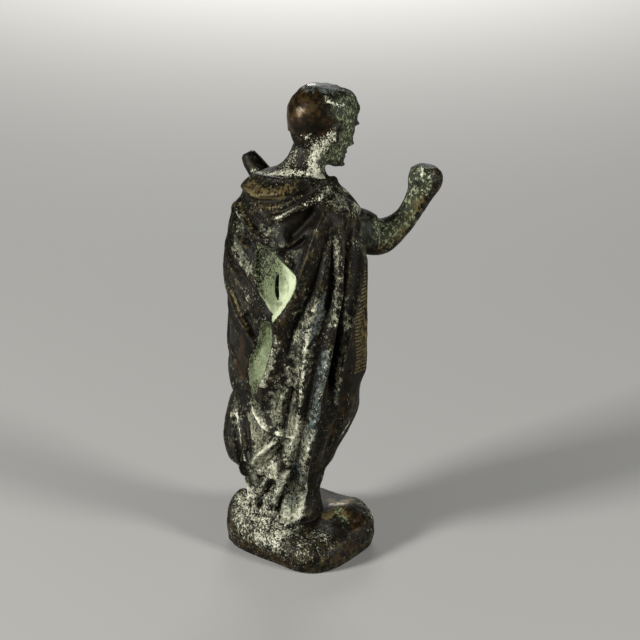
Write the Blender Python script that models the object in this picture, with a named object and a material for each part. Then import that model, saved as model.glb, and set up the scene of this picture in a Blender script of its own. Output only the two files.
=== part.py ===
"""A small bronze statuette of a draped Roman ruler on a rocky base, cast in one piece.

Run with: blender --background --python part.py
Metres, +Z up. The origin is the middle of the flat underside. The figure faces -Y, so its right hand is
at -X.

Figure lengths are hundredths of FIGURE_HEIGHT, and heights start at the ground that the figure stands on.
A place on the body is a turn in degrees and a height. The turn is 0 at the middle of the back, 90 at the
figure's right side, 180 in front and -90 at its left side.
"""

import math

import bmesh
import bpy
import numpy as np

# The figure from the ground under it to the top of its head.
FIGURE_HEIGHT = 0.100
# The rocky base: its outline on the table, its side, and the ground that the figure stands on.
BASE_WIDTH = 0.0322
BASE_DEPTH = 0.0276
BASE_SIDE = 0.0060
BASE_HEIGHT = 0.0100

# One hundredth of the figure. The forms are drawn in it and made metres when they are built.
UNIT = FIGURE_HEIGHT / 100
GROUND = BASE_HEIGHT / UNIT
BASE_X = BASE_WIDTH / UNIT / 2
BASE_Y = BASE_DEPTH / UNIT / 2
SIDE = BASE_SIDE / UNIT
# The step of the grid that melts the forms into one casting, and the share of its triangles that is kept.
MELT_STEP = 0.0048 * FIGURE_HEIGHT
KEPT_TRIANGLES = 9600

# Height, centre across, centre front to back, half width, half depth.
BODY_SECTIONS = [
    (-5.0, 2.4, 3.0, 8.6, 7.0),
    (0.0, 2.4, 3.0, 9.4, 7.6),
    (4.5, 2.7, 3.4, 8.6, 7.2),
    (8.0, 2.8, 3.5, 9.5, 7.9),
    (10.7, 3.3, 3.9, 10.9, 9.0),
    (13.3, 3.2, 3.8, 12.6, 10.0),
    (16.0, 3.0, 3.7, 13.6, 10.6),
    (21.0, 1.9, 2.5, 14.8, 11.5),
    (26.0, 0.8, 1.2, 15.4, 12.0),
    (36.0, 0.7, 0.9, 16.2, 12.6),
    (50.0, 0.7, 0.9, 16.3, 12.6),
    (62.0, 0.8, 0.9, 16.5, 12.3),
    (67.5, 0.4, 0.5, 16.0, 11.6),
    (72.0, 0.2, 0.3, 15.0, 10.4),
    (75.0, 0.4, 0.5, 13.8, 9.2),
    (77.0, 0.8, 0.9, 12.2, 8.2),
    (78.8, 1.1, 1.0, 10.2, 7.2),
    (80.2, 0.8, 0.4, 7.8, 6.2),
    (81.4, 0.2, -0.4, 5.8, 5.2),
    (83.0, -0.5, -1.4, 4.7, 4.5),
    (85.0, -0.9, -2.4, 4.4, 4.3),
    (88.0, -1.5, -3.6, 4.3, 4.4),
    (93.0, -2.0, -5.0, 4.4, 4.6),
]

# Folds: places along each, how far it stands out, and how wide it is on its left and its right as it runs.
FOLDS = [
    # The edge of the cloth round the neck.
    ([(-92, 79.0), (-50, 79.5), (-12, 80.2), (14, 80.4), (60, 80.4), (100, 80.0), (140, 79.2), (180, 77.5),
      (220, 78.0), (262, 79.0)], 0.9, 0.5, 1.2),
    # The thick roll under it, across the top of the back.
    ([(-70, 77.2), (-41, 76.6), (-19, 76.5), (-2, 77.1), (16, 78.0), (29, 79.1), (42, 80.0),
      (63, 80.5)], 1.3, 2.3, 0.45),
    # Curved folds of the panel between the shoulders, and the dark creases between them.
    ([(90, 79.7), (64, 79.3), (42, 78.1), (26, 76.8), (13, 75.6), (-1, 74.9), (-17, 74.7)], 0.7, 0.6, 0.9),
    ([(86, 78.7), (66, 77.8), (47, 76.7), (31, 75.3), (19, 73.9), (9, 73.1), (-1, 72.8)], 1.1, 0.6, 1.1),
    ([(57, 76.3), (43, 74.6), (34, 72.4), (26, 70.4), (20, 69.2)], -1.5, 1.6, 1.6),
    ([(46, 73.0), (36, 71.3), (29, 69.2), (21, 67.7)], 0.6, 0.9, 0.9),
    ([(41, 70.5), (34, 68.8), (25, 67.3), (16, 66.5)], -0.8, 0.6, 0.6),
    ([(-25, 73.8), (-13, 72.5), (-4, 71.6), (7, 70.9)], 0.6, 1.0, 0.6),
    ([(-43, 73.4), (-25, 72.2), (-12, 70.9), (-1, 69.9)], -0.6, 0.6, 0.6),
    # The panel's left edge, which lies over the folds from the left shoulder.
    ([(-66, 73.6), (-41, 72.1), (-23, 70.6), (-10, 69.1), (2, 67.9), (12, 66.7), (21, 65.4), (29, 63.7),
      (36, 61.6)], 1.6, 1.7, 0.45),
    # The long edge of the cloth on the right, from the shoulder to its low point on the left.
    ([(96, 79.2), (75, 77.7), (59, 75.3), (51, 72.6), (46, 69.7), (43, 66.6), (40, 63.7), (38, 61.0),
      (34, 58.2), (28, 55.3), (21, 52.4), (18, 50.7), (18, 47.8), (17, 45.0), (14, 41.2), (8, 36.7),
      (0, 32.6), (-10, 28.5)], 2.1, 3.4, 1.1),
    # Its lower hem.
    ([(-11, 29.1), (-3, 26.8), (6, 24.6), (17, 23.8), (28, 23.6), (38, 24.1)], 1.2, 1.6, 0.4),
    # Upright folds of that cloth, and the grooves between them.
    ([(65, 75.3), (57, 71.8), (53, 67.6), (51, 63.3), (48, 58.8), (42, 55.1), (36, 51.7), (31, 48.1),
      (27, 43.9), (23, 40.0)], -1.3, 1.1, 1.2),
    ([(61, 71.3), (57, 67.6), (57, 63.2), (53, 57.9), (48, 53.0), (44, 47.2), (42, 41.2), (40, 35.1),
      (37, 30.1), (37, 25.1), (38, 20.8), (40, 16.4), (38, 11.1), (31, 7.0), (19, 3.4), (12, 0.1),
      (11, -2.1)], 1.5, 1.1, 1.2),
    ([(66, 72.5), (63, 67.5), (64, 62.7), (63, 57.3), (58, 52.2)], -0.9, 0.7, 0.7),
    ([(88, 75.8), (74, 71.5), (72, 64.7), (73, 58.3), (70, 53.3), (67, 48.7), (64, 44.6), (60, 39.9),
      (56, 35.6), (53, 31.4), (52, 26.7), (54, 22.6), (59, 18.3), (63, 13.6), (70, 7.7), (70, 4.0),
      (62, 1.6), (55, -0.7)], 2.1, 0.8, 1.6),
    ([(101, 74.2), (86, 69.4), (82, 63.8), (79, 58.0), (75, 53.1), (72, 47.8), (68, 42.1), (64, 36.4),
      (61, 32.0)], -1.5, 0.8, 0.8),
    ([(109, 70.5), (102, 66.9), (101, 62.4), (98, 57.8), (91, 53.1), (85, 49.2), (80, 45.0), (75, 41.2),
      (73, 37.0), (73, 33.6), (72, 30.6)], 1.6, 0.8, 1.0),
    ([(111, 61.6), (107, 56.8), (98, 52.1), (93, 46.6), (88, 41.4), (85, 36.3), (83, 31.0), (79, 25.4),
      (86, 19.1), (95, 12.8)], -1.3, 1.6, 1.1),
    ([(69, 32.5), (72, 31.1), (72, 29.8)], 0.5, 0.5, 0.5),
    ([(27, 43.9), (29, 39.3), (28, 34.8), (23, 31.7)], 0.5, 0.8, 0.8),
    ([(24, 34.2), (22, 31.6), (20, 28.5)], 0.6, 0.5, 0.6),
    ([(33, 36.5), (28, 31.8), (25, 27.2), (26, 23.7)], -1.0, 0.9, 0.9),
    ([(35, 23.5), (35, 19.4), (34, 15.5), (32, 11.6)], 1.0, 0.9, 0.8),
    # The floors of the two pockets, which fall towards the edge that lies over them.
    ([(4, 69.0), (10, 65.5), (17, 62.0), (23, 58.5), (24, 55.5), (20, 51.0)], -1.7, 1.9, 4.2),
    ([(14, 51.0), (12, 46.5), (8, 41.5), (0, 36.0), (-8, 31.0)], -1.2, 1.3, 2.4),
    # The band down its side, and its edge below.
    ([(124, 67.0), (121, 56.0), (120, 45.0), (121, 31.0)], 1.3, 2.2, 2.2),
    ([(119, 31.0), (112, 24.0), (106, 17.0), (100, 9.0)], 0.4, 1.5, 0.7),
    # The top of the right shoulder.
    ([(112, 80.0), (124, 78.6), (133, 76.0), (132, 72.0)], 0.9, 1.6, 1.6),
    # Folds that sweep down the left side from the left shoulder, and their creases.
    ([(-74, 72.0), (-48, 68.8), (-33, 67.5), (-21, 66.1), (-12, 64.9)], 0.8, 0.9, 0.6),
    ([(-28, 69.0), (-20, 68.0), (-12, 66.8), (-5, 65.4)], -0.9, 1.0, 1.0),
    ([(-80, 74.0), (-64, 69.7), (-47, 66.1), (-30, 64.0), (-18, 62.0), (-11, 60.2)], 1.0, 0.8, 0.9),
    ([(-72, 68.0), (-56, 64.8), (-40, 62.4), (-24, 60.2), (-11, 58.3), (-3, 56.6), (5, 54.3),
      (13, 52.0)], -0.6, 0.45, 0.7),
    ([(-80, 68.0), (-60, 63.6), (-36, 60.2), (-21, 57.8), (-11, 55.5), (-3, 53.3),
      (5, 50.8)], 0.9, 0.9, 0.9),
    ([(-74, 63.4), (-56, 60.0), (-42, 57.4), (-27, 54.8), (-17, 52.2), (-8, 49.8),
      (-1, 47.3)], -0.8, 0.5, 0.5),
    ([(-84, 66.0), (-66, 60.2), (-50, 56.0), (-34, 52.4), (-23, 49.7), (-13, 47.3), (-5, 44.6),
      (0, 42.4)], 1.1, 0.5, 0.9),
    ([(-17, 50.5), (-10, 48.1), (-2, 45.1)], -1.0, 1.2, 1.2),
    ([(-72, 55.0), (-56, 50.6), (-40, 46.8), (-24, 43.4)], 0.5, 0.5, 0.5),
    ([(-96, 70.0), (-86, 57.0), (-72, 47.0), (-60, 39.5), (-54, 34.0)], 0.9, 1.1, 1.1),
    ([(-110, 71.0), (-104, 58.0), (-90, 46.0), (-76, 36.5)], 0.8, 1.1, 1.1),
    ([(-50, 40.0), (-38, 38.2), (-27, 36.0), (-20, 33.7), (-15, 30.3)], 0.7, 1.0, 1.0),
    ([(-100, 38.0), (-76, 35.2), (-60, 33.4), (-47, 31.0), (-36, 29.4), (-22, 29.6)], 0.9, 2.2, 0.6),
    # The lower garment on the left, its zigzag folds and their hollows.
    ([(-42, 28.4), (-37, 24.6), (-28, 21.5), (-20, 18.5), (-15, 15.4), (-14, 12.0),
      (-22, 8.0)], 1.2, 0.6, 0.9),
    ([(-22, 25.6), (-13, 22.0), (-5, 18.5), (0, 15.2)], -1.1, 1.1, 1.0),
    ([(-64, 28.0), (-60, 23.5), (-58, 19.0), (-50, 15.0), (-40, 12.5), (-27, 11.0)], 0.9, 0.9, 0.9),
    ([(23, 23.6), (21, 21.4), (15, 19.3), (9, 17.0), (3, 13.2)], 1.4, 1.0, 0.5),
    ([(28, 21.8), (27, 19.1), (24, 16.2), (15, 14.0)], -1.2, 1.1, 1.0),
    ([(15, 13.4), (-3, 7.8), (-15, 2.3), (-22, -3.0)], 0.9, 0.9, 0.6),
    ([(38, 18.6), (35, 14.9), (24, 11.3), (2, 6.4), (-2, 2.2)], 0.7, 0.7, 0.7),
    ([(29, 12.2), (14, 7.6), (-1, 4.1), (-11, -0.2)], -0.8, 0.7, 0.7),
    ([(46, 10.5), (37, 7.1), (30, 3.9), (20, 0.4)], -1.5, 0.9, 0.9),
    ([(-30, 9.0), (-34, 4.0), (-38, -1.0)], 0.8, 0.8, 0.8),
    # The sweep of cloth across the front, over the left arm.
    ([(128, 48.0), (152, 50.0), (180, 56.0), (212, 65.0), (244, 73.0), (266, 78.0)], 1.1, 1.3, 1.0),
    ([(134, 54.0), (156, 57.0), (182, 63.0), (212, 70.5), (240, 76.0)], 0.9, 1.2, 0.9),
    ([(140, 61.0), (160, 64.5), (186, 69.5), (214, 75.0)], 0.8, 1.1, 0.9),
    ([(124, 41.0), (150, 43.0), (182, 49.0), (216, 58.0), (250, 68.0)], 0.8, 1.2, 1.0),
    ([(272, 74.0), (268, 62.0), (252, 52.0), (228, 47.0), (206, 47.0)], 1.5, 2.8, 2.2),
    ([(262, 44.0), (236, 41.0), (206, 40.0), (172, 37.0), (144, 33.0), (124, 30.0)], 0.9, 0.6, 2.0),
    # Upright folds below it.
    ([(146, 33.0), (146, 20.0), (142, 8.0), (140, -1.0)], 0.9, 1.1, 1.1),
    ([(166, 36.0), (164, 22.0), (160, 9.0), (158, -1.0)], 0.8, 1.0, 1.0),
    ([(186, 38.0), (184, 24.0), (181, 10.0), (180, -1.0)], 1.0, 1.2, 1.2),
    ([(208, 39.0), (208, 25.0), (205, 11.0), (202, -1.0)], 0.9, 1.1, 1.1),
    ([(232, 40.0), (232, 26.0), (228, 12.0), (224, -1.0)], 0.9, 1.1, 1.1),
    ([(256, 42.0), (256, 28.0), (252, 14.0), (250, -1.0)], 0.8, 1.1, 1.1),
    ([(278, 40.0), (280, 27.0), (276, 14.0), (276, -1.0)], 0.8, 1.2, 1.2),
    ([(126, 30.0), (124, 20.0), (120, 9.0), (116, -1.0)], 0.8, 1.0, 1.0),
    # The neckline falls forward on the chest.
    ([(104, 77.0), (132, 72.0), (160, 69.0), (186, 69.0)], 0.7, 1.0, 0.9),
]

# Hollows: places round each, clockwise as seen from outside, its depth and the width of its slope.
HOLLOWS = [
    ([(-7, 66.9), (2, 67.2), (12, 66.3), (21, 64.9), (29, 63.2), (35, 61.6), (36, 60.3), (33, 57.7),
      (27, 55.0), (21, 52.4), (18, 51.3), (12, 52.7), (5, 54.8), (0, 57.0), (-3, 60.0),
      (-6, 63.9)], 1.0, 1.2),
    ([(4, 49.8), (10, 50.4), (16, 49.6), (17, 46.9), (15, 43.4), (11, 39.3), (4, 34.9), (-6, 31.1),
      (-12, 32.5), (-13, 36.4), (-11, 40.4), (-4, 43.5), (0, 46.7)], 1.0, 1.2),
]

# The head from its own middle: height, middle front to back, half width, half depth. It is turned and bowed.
HEAD_SECTIONS = [
    (-8.7, 3.9, 1.7, 1.6),
    (-8.2, 3.0, 3.0, 3.7),
    (-7.1, 1.8, 4.3, 5.2),
    (-5.5, 0.7, 5.2, 6.3),
    (-3.6, 0.0, 5.8, 7.1),
    (-1.3, -0.3, 6.3, 7.7),
    (1.2, -0.5, 6.7, 8.2),
    (3.6, -0.5, 6.9, 8.2),
    (5.9, -0.4, 6.3, 7.4),
    (7.7, -0.3, 5.1, 6.0),
    (8.8, -0.3, 3.3, 3.9),
    (9.2, -0.3, 1.4, 1.7),
]
HEAD_MIDDLE = (-2.2, -5.4, 90.4)
HEAD_TURN = 20
HEAD_BOW = 14
# Forms of the face, the ears and the hair: across, forward, up, how far each stands out, and its half width
# and half height. Each stands on both sides of the head.
HEAD_FORMS = [
    # The bridge of the nose, its tip and its wings.
    (0.0, 7.6, -0.6, 1.3, 0.8, 2.4),
    (0.0, 7.8, -2.9, 1.9, 0.8, 0.8),
    (1.0, 7.2, -3.2, 0.7, 0.5, 0.5),
    # The brow, the eye sockets, the lids and the cheeks.
    (2.1, 7.0, 1.9, 0.8, 1.6, 0.5),
    (2.3, 7.0, 0.4, -1.3, 1.1, 0.8),
    (2.4, 6.6, 0.2, 0.7, 0.9, 0.42),
    (2.4, 6.6, -0.1, -0.25, 0.8, 0.12),
    (3.9, 5.4, -1.8, 0.6, 1.4, 1.1),
    (3.6, 5.2, -5.0, -0.4, 1.5, 1.4),
    # The lips, the line between them, the dip below them and the chin.
    (0.0, 7.1, -4.9, 0.8, 1.4, 0.45),
    (0.0, 7.1, -5.45, -0.5, 1.5, 0.16),
    (0.0, 6.9, -6.0, 0.7, 1.1, 0.4),
    (0.0, 6.8, -6.9, -0.3, 1.2, 0.35),
    (0.0, 6.6, -7.8, 0.9, 1.4, 0.8),
    # The ears: the rim, the bowl and the lobe.
    (6.2, -0.4, 0.0, 1.5, 0.8, 1.5),
    (6.6, 0.1, 0.1, -0.9, 0.4, 0.8),
    (6.2, 0.0, -1.8, 0.8, 0.6, 0.7),
]

# The lower edge of the cap of hair: the turn from the back of the head, and its height. Then how far the hair
# stands out, and how wide the slope at its edge is.
HAIR_EDGE = [(0, -2.6), (35, -2.4), (70, 0.4), (88, 2.4), (110, 1.4), (135, 4.2), (160, 5.3), (180, 5.5)]
HAIR_DEPTH = 0.00045
HAIR_SLOPE = 0.0005

# Swept forms: x, y, height and radius at places along each.
ARM = [
    (-6.5, -3.5, 70.5, 4.4),
    (-10.0, -8.0, 67.8, 4.7),
    (-13.0, -11.0, 66.1, 4.4),
    (-15.4, -12.8, 67.3, 3.4),
    (-17.9, -15.0, 70.3, 2.6),
    (-20.0, -16.8, 75.2, 2.8),
    (-21.0, -17.6, 79.0, 3.8),
    (-21.2, -17.8, 81.2, 3.4),
]
STUB = [(8.6, -1.8, 74.0, 2.7), (12.0, -1.4, 77.2, 2.5), (14.4, -1.0, 79.8, 2.2), (15.7, -0.7, 81.7, 1.7)]
FEET = [
    [(2.0, 0.0, 1.6, 2.0), (1.4, -3.8, 1.2, 1.9), (1.0, -6.3, 0.7, 1.5)],
    [(6.0, 0.6, 1.8, 2.0), (7.2, -3.2, 1.4, 1.9), (8.0, -5.8, 0.8, 1.5)],
]

# The rock's outline, up its side and in over its top: the share of the way, of the half width, of the side's
# height, and of the way from there to the ground that the figure stands on.
ROCK_OUTLINE = [
    (0.00, 0.925, -0.25, 0.00),
    (0.07, 0.955, 0.00, 0.00),
    (0.18, 0.992, 0.34, 0.00),
    (0.28, 1.000, 0.60, 0.00),
    (0.38, 0.985, 0.84, 0.04),
    (0.47, 0.945, 1.00, 0.14),
    (0.56, 0.870, 1.00, 0.34),
    (0.67, 0.740, 1.00, 0.62),
    (0.80, 0.520, 1.00, 0.86),
    (0.91, 0.260, 1.00, 0.97),
    (1.00, 0.003, 1.00, 1.00),
]

# Humps and dips of the rock: x, y, rise and spread.
HUMPS = [
    (11.6, 8.2, 4.2, 3.3),
    (6.0, 8.5, 1.2, 3.0),
    (1.0, 10.5, 1.3, 2.6),
    (-4.5, 8.5, -0.9, 2.6),
    (-8.5, 3.5, -1.0, 3.2),
    (-10.5, -4.5, 1.4, 3.4),
    (-8.0, -10.0, 0.7, 3.0),
    (9.5, -8.0, -0.8, 3.6),
]


def smooth_curve(keys, at):
    """A smooth curve through the keys, read at the given places: a cubic between each two keys, with the mean
    slope of its neighbours at each. The first number of a key is its place and the others are its values."""
    keys = np.asarray(keys, float)
    place, value = keys[:, 0], keys[:, 1:]
    slope = np.gradient(value, place, axis=0)
    at = np.clip(at, place[0], place[-1])
    cell = np.clip(np.searchsorted(place, at, side="right") - 1, 0, len(place) - 2)
    width = (place[cell + 1] - place[cell])[..., None]
    t = (at - place[cell])[..., None] / width
    start = (1 + 2 * t) * (1 - t) ** 2 * value[cell] + t * (1 - t) ** 2 * width * slope[cell]
    end = t * t * (3 - 2 * t) * value[cell + 1] + t * t * (t - 1) * width * slope[cell + 1]
    return start + end


def ease(value):
    """0 below 0, 1 above 1, and a smooth rise between."""
    t = np.clip(value, 0, 1)
    return t * t * (3 - 2 * t)


def body_point(turn, height):
    """Where a turn and a height lie on the smooth body: an ellipse at each height."""
    x, y, wide, deep = np.moveaxis(smooth_curve(BODY_SECTIONS, height), -1, 0)
    angle = np.radians(turn)
    return np.stack([x - wide * np.sin(angle), y + deep * np.cos(angle), height + GROUND], axis=-1)


def surface_normals(points):
    """Outward directions of a ring by ring surface: its slope along the rings crossed with its slope up."""
    round_step = np.roll(points, -1, axis=1) - np.roll(points, 1, axis=1)
    rise_step = np.gradient(points, axis=0)
    normal = np.cross(round_step, rise_step)
    normal /= np.maximum(np.linalg.norm(normal, axis=-1, keepdims=True), 1e-9)
    from_middle = points - points.mean(axis=1, keepdims=True)
    return normal * np.sign(np.sum(normal * from_middle, axis=-1, keepdims=True))


def path_distance(points, path):
    """The distance from each point to a path, the nearest place on it, its direction there and the share of
    its length that is behind that place."""
    best = np.full(len(points), np.inf)
    near = np.zeros_like(points)
    heading = np.zeros_like(points)
    share = np.zeros(len(points))
    steps = np.linalg.norm(np.diff(path, axis=0), axis=1)
    behind = np.concatenate([[0], np.cumsum(steps)])
    for i, step in enumerate(steps):
        line = path[i + 1] - path[i]
        t = np.clip((points - path[i]) @ line / (step * step), 0, 1)
        place = path[i] + t[:, None] * line
        gap = np.linalg.norm(points - place, axis=1)
        closer = gap < best
        best = np.where(closer, gap, best)
        near[closer] = place[closer]
        heading[closer] = line / step
        share = np.where(closer, (behind[i] + t * step) / behind[-1], share)
    return best, near, heading, share


def drawn_path(places, closed=False):
    """A smooth path on the body through a few places."""
    places = np.asarray(places, float)
    if closed:
        places = np.vstack([places[-2:], places, places[:2]])
    count = len(places)
    keys = np.column_stack([np.arange(count), places])
    span = (2, count - 2) if closed else (0, count - 1)
    at = np.linspace(span[0], span[1], 8 * (span[1] - span[0]) + 1)
    turn, height = smooth_curve(keys, at).T
    return body_point(turn, height)


def inside_outline(points, out, places):
    """How far inside a closed outline on the body each point lies, and less than 0 outside it."""
    path = drawn_path(places, closed=True)
    middle = path.mean(axis=0)
    reach = np.linalg.norm(path - middle, axis=1).max() + 1
    within = np.full(len(points), -1.0)
    chosen = np.flatnonzero(np.linalg.norm(points - middle, axis=1) < reach)
    gap, near, heading, _ = path_distance(points[chosen], path)
    side = np.einsum("ij,ij->i", np.cross(heading, out[chosen]), points[chosen] - near)
    within[chosen] = np.where(side > 0, gap, -gap)
    return within


def fold_lift(points, out):
    """How far the folds and hollows move each point of the body out: a bell across each fold, wider on one
    side than on the other, and an eased slope inside each hollow's edge."""
    lift = np.zeros(len(points))
    for places, amount, left, right in FOLDS:
        path = drawn_path(places)
        reach = 2.6 * max(left, right)
        inside = np.all((points > path.min(axis=0) - reach) & (points < path.max(axis=0) + reach), axis=1)
        chosen = np.flatnonzero(inside)
        gap, near, heading, share = path_distance(points[chosen], path)
        side = np.einsum("ij,ij->i", np.cross(heading, out[chosen]), points[chosen] - near)
        width = np.where(side > 0, right, left)
        ends = ease(share / 0.16) * ease((1 - share) / 0.16)
        lift[chosen] += amount * ends * np.exp(-((gap / width) ** 2))
    for places, depth, slope in HOLLOWS:
        lift -= depth * ease(inside_outline(points, out, places) / slope)
    return lift


def body_rings(columns, rows):
    """The draped body and neck: rings spread evenly over the outline, moved out by the folds."""
    fine = np.linspace(BODY_SECTIONS[0][0], BODY_SECTIONS[-1][0], 800)
    outline = smooth_curve(BODY_SECTIONS, fine)[:, 2]
    length = np.concatenate([[0], np.cumsum(np.hypot(np.diff(fine), np.diff(outline)))])
    height = np.interp(np.linspace(0, length[-1], rows), length, fine)
    turn = np.arange(columns) * 360 / columns
    points = body_point(turn[None, :], np.repeat(height[:, None], columns, axis=1))
    normals = surface_normals(points)
    lift = fold_lift(points.reshape(-1, 3), normals.reshape(-1, 3))
    return points + normals * lift.reshape(rows, columns, 1)


def head_rings(columns, rows):
    """The head: rings from under the chin to the crown, moved out by the forms of the face and the hair."""
    low, high = HEAD_SECTIONS[0][0], HEAD_SECTIONS[-1][0]
    up = (low + high) / 2 - (high - low) / 2 * np.cos(np.linspace(0, math.pi, rows))
    middle, wide, deep = smooth_curve(HEAD_SECTIONS, up).T[:, :, None]
    angle = np.arange(columns) * 2 * math.pi / columns
    across = wide * np.sin(angle)
    forward = middle + deep * np.cos(angle)
    points = np.stack([across, forward, np.repeat(up[:, None], columns, axis=1)], axis=-1)
    lift = np.zeros(points.shape[:-1])
    for x, y, z, amount, half_width, half_height in HEAD_FORMS:
        sideways = (np.abs(points[..., 0]) - x) / half_width
        upward = (points[..., 2] - z) / half_height
        ahead = (points[..., 1] - y) / (2.2 * half_width)
        lift += amount * np.exp(-(sideways**2 + upward**2 + ahead**2))
    from_back = np.degrees(np.arccos(np.clip(-np.cos(angle), -1, 1)))
    edge = smooth_curve(HAIR_EDGE, from_back)[:, 0]
    lift += HAIR_DEPTH / UNIT * (ease((points[..., 2] - edge) / (HAIR_SLOPE / UNIT)) - 1)
    return placed_head(points + surface_normals(points) * lift[..., None])


def placed_head(points):
    """Points of the head's own frame, bowed, turned and set on the neck."""
    bow, turn = math.radians(HEAD_BOW), math.radians(HEAD_TURN)
    across, forward, up = np.moveaxis(points, -1, 0)
    ahead = forward * math.cos(bow) + up * math.sin(bow)
    rise = up * math.cos(bow) - forward * math.sin(bow)
    x = across * math.cos(turn) - ahead * math.sin(turn)
    y = -across * math.sin(turn) - ahead * math.cos(turn)
    return np.stack([x, y, rise + GROUND], axis=-1) + np.array(HEAD_MIDDLE)


def swept_rings(places, columns, rows):
    """A round limb along a smooth path, with its ends rounded by closing rings."""
    keys = np.column_stack([np.arange(len(places)), np.asarray(places, float)])
    along = smooth_curve(keys, np.linspace(0, len(places) - 1, rows))
    centre, radius = along[:, :3] + np.array([0, 0, GROUND]), along[:, 3]
    heading = np.gradient(centre, axis=0)
    heading /= np.linalg.norm(heading, axis=1, keepdims=True)
    side = np.cross(heading, np.array([0.3, 1.0, 0.2]))
    side /= np.linalg.norm(side, axis=1, keepdims=True)
    over = np.cross(heading, side)
    angle = np.arange(columns) * 2 * math.pi / columns
    ring = np.cos(angle)[None, :, None] * side[:, None] + np.sin(angle)[None, :, None] * over[:, None]
    points = centre[:, None] + radius[:, None, None] * ring
    start = centre[:1, None] + 0.6 * radius[0] * ring[:1] - 0.3 * radius[0] * heading[:1, None]
    end = centre[-1:, None] + 0.6 * radius[-1] * ring[-1:] + 0.3 * radius[-1] * heading[-1:, None]
    return np.concatenate([start, points, end])


def rock_rings(columns, rows):
    """The rock: rings on an uneven rounded oblong that follow its outline up and in, with humps and dips."""
    angle = np.arange(columns) * 2 * math.pi / columns
    c, s = np.cos(angle), np.sin(angle)
    rim = ((np.abs(c) / BASE_X) ** 3.4 + (np.abs(s) / BASE_Y) ** 3.4) ** (-1 / 3.4)
    rim *= 1 + 0.016 * np.sin(3 * angle - 0.8) + 0.009 * np.sin(5 * angle + 2.1) + 0.005 * np.sin(9 * angle)
    inward, side, rise = smooth_curve(ROCK_OUTLINE, np.linspace(0, 1, rows)).T[:, :, None]
    x, y = rim * inward * c, rim * inward * s
    flank = SIDE * (1 + 0.13 * np.sin(2 * angle))
    height = side * flank + rise * (GROUND - flank)
    for hump_x, hump_y, lift, spread in HUMPS:
        height = height + lift * ease(side) * np.exp(-((x - hump_x) ** 2 + (y - hump_y) ** 2) / spread**2)
    return np.stack([x, y, height], axis=-1)


def ring_mesh(name, rings):
    """A closed mesh from rings of points round the form, with a point in the middle of each end."""
    rows, columns, _ = rings.shape
    points = np.vstack([rings.reshape(-1, 3), rings[0].mean(axis=0), rings[-1].mean(axis=0)])
    row, column = np.meshgrid(np.arange(rows - 1), np.arange(columns), indexing="ij")
    right = (column + 1) % columns
    below, above = row * columns, (row + 1) * columns
    sides = np.stack([below + column, below + right, above + right, above + column], axis=-1).reshape(-1, 4)
    around = np.arange(columns)
    after = (around + 1) % columns
    first, last, top = rows * columns, rows * columns + 1, (rows - 1) * columns
    start = np.stack([after, around, np.full(columns, first)], axis=-1)
    end = np.stack([top + around, top + after, np.full(columns, last)], axis=-1)
    mesh = bpy.data.meshes.new(name)
    mesh.from_pydata((points * UNIT).tolist(), [], sides.tolist() + start.tolist() + end.tolist())
    form = bmesh.new()
    form.from_mesh(mesh)
    bmesh.ops.recalc_face_normals(form, faces=form.faces)
    form.to_mesh(mesh)
    form.free()
    return mesh


def joined(name, meshes):
    """One object that holds all the meshes."""
    form = bmesh.new()
    for mesh in meshes:
        form.from_mesh(mesh)
        bpy.data.meshes.remove(mesh)
    whole = bpy.data.meshes.new(name)
    form.to_mesh(whole)
    form.free()
    piece = bpy.data.objects.new(name, whole)
    bpy.context.collection.objects.link(piece)
    return piece


def baked(piece):
    """Puts the outcome of the object's modifiers in place of its mesh."""
    whole = bpy.data.meshes.new_from_object(piece.evaluated_get(bpy.context.evaluated_depsgraph_get()))
    old = piece.data
    piece.modifiers.clear()
    piece.data = whole
    bpy.data.meshes.remove(old)


def melted(piece):
    """Melts the joined forms into one closed skin and thins its triangles."""
    melt = piece.modifiers.new("Melt", "REMESH")
    melt.mode = "VOXEL"
    melt.voxel_size = MELT_STEP
    baked(piece)
    piece.data.calc_loop_triangles()
    thin = piece.modifiers.new("Thin", "DECIMATE")
    thin.ratio = KEPT_TRIANGLES / len(piece.data.loop_triangles)
    baked(piece)


def cut_flat(piece):
    """Cuts the underside flat on the table and closes the cut."""
    form = bmesh.new()
    form.from_mesh(piece.data)
    every = form.verts[:] + form.edges[:] + form.faces[:]
    cut = bmesh.ops.bisect_plane(
        form, geom=every, dist=1e-7, plane_co=(0, 0, 0), plane_no=(0, 0, -1), clear_outer=True
    )
    edges = [item for item in cut["geom_cut"] if isinstance(item, bmesh.types.BMEdge)]
    bmesh.ops.edgeloop_fill(form, edges=edges)
    bmesh.ops.triangulate(form, faces=form.faces[:])
    bmesh.ops.recalc_face_normals(form, faces=form.faces[:])
    form.to_mesh(piece.data)
    form.free()


def bronze():
    """Dark patinated bronze."""
    material = bpy.data.materials.new("bronze")
    material.use_nodes = True
    shader = material.node_tree.nodes["Principled BSDF"]
    shader.inputs["Base Color"].default_value = (0.075, 0.065, 0.048, 1)
    shader.inputs["Metallic"].default_value = 0.6
    shader.inputs["Roughness"].default_value = 0.5
    return material


def main():
    """Removes what is there and builds the statuette."""
    for old in list(bpy.data.objects):
        bpy.data.objects.remove(old)
    forms = [
        ring_mesh("body", body_rings(240, 280)),
        ring_mesh("head", head_rings(96, 80)),
        ring_mesh("arm", swept_rings(ARM, 32, 60)),
        ring_mesh("stub", swept_rings(STUB, 20, 20)),
        ring_mesh("rock", rock_rings(128, 48)),
    ]
    forms += [ring_mesh("foot", swept_rings(foot, 20, 20)) for foot in FEET]
    statuette = joined("statuette", forms)
    melted(statuette)
    cut_flat(statuette)
    statuette.data.materials.append(bronze())


main()
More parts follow.
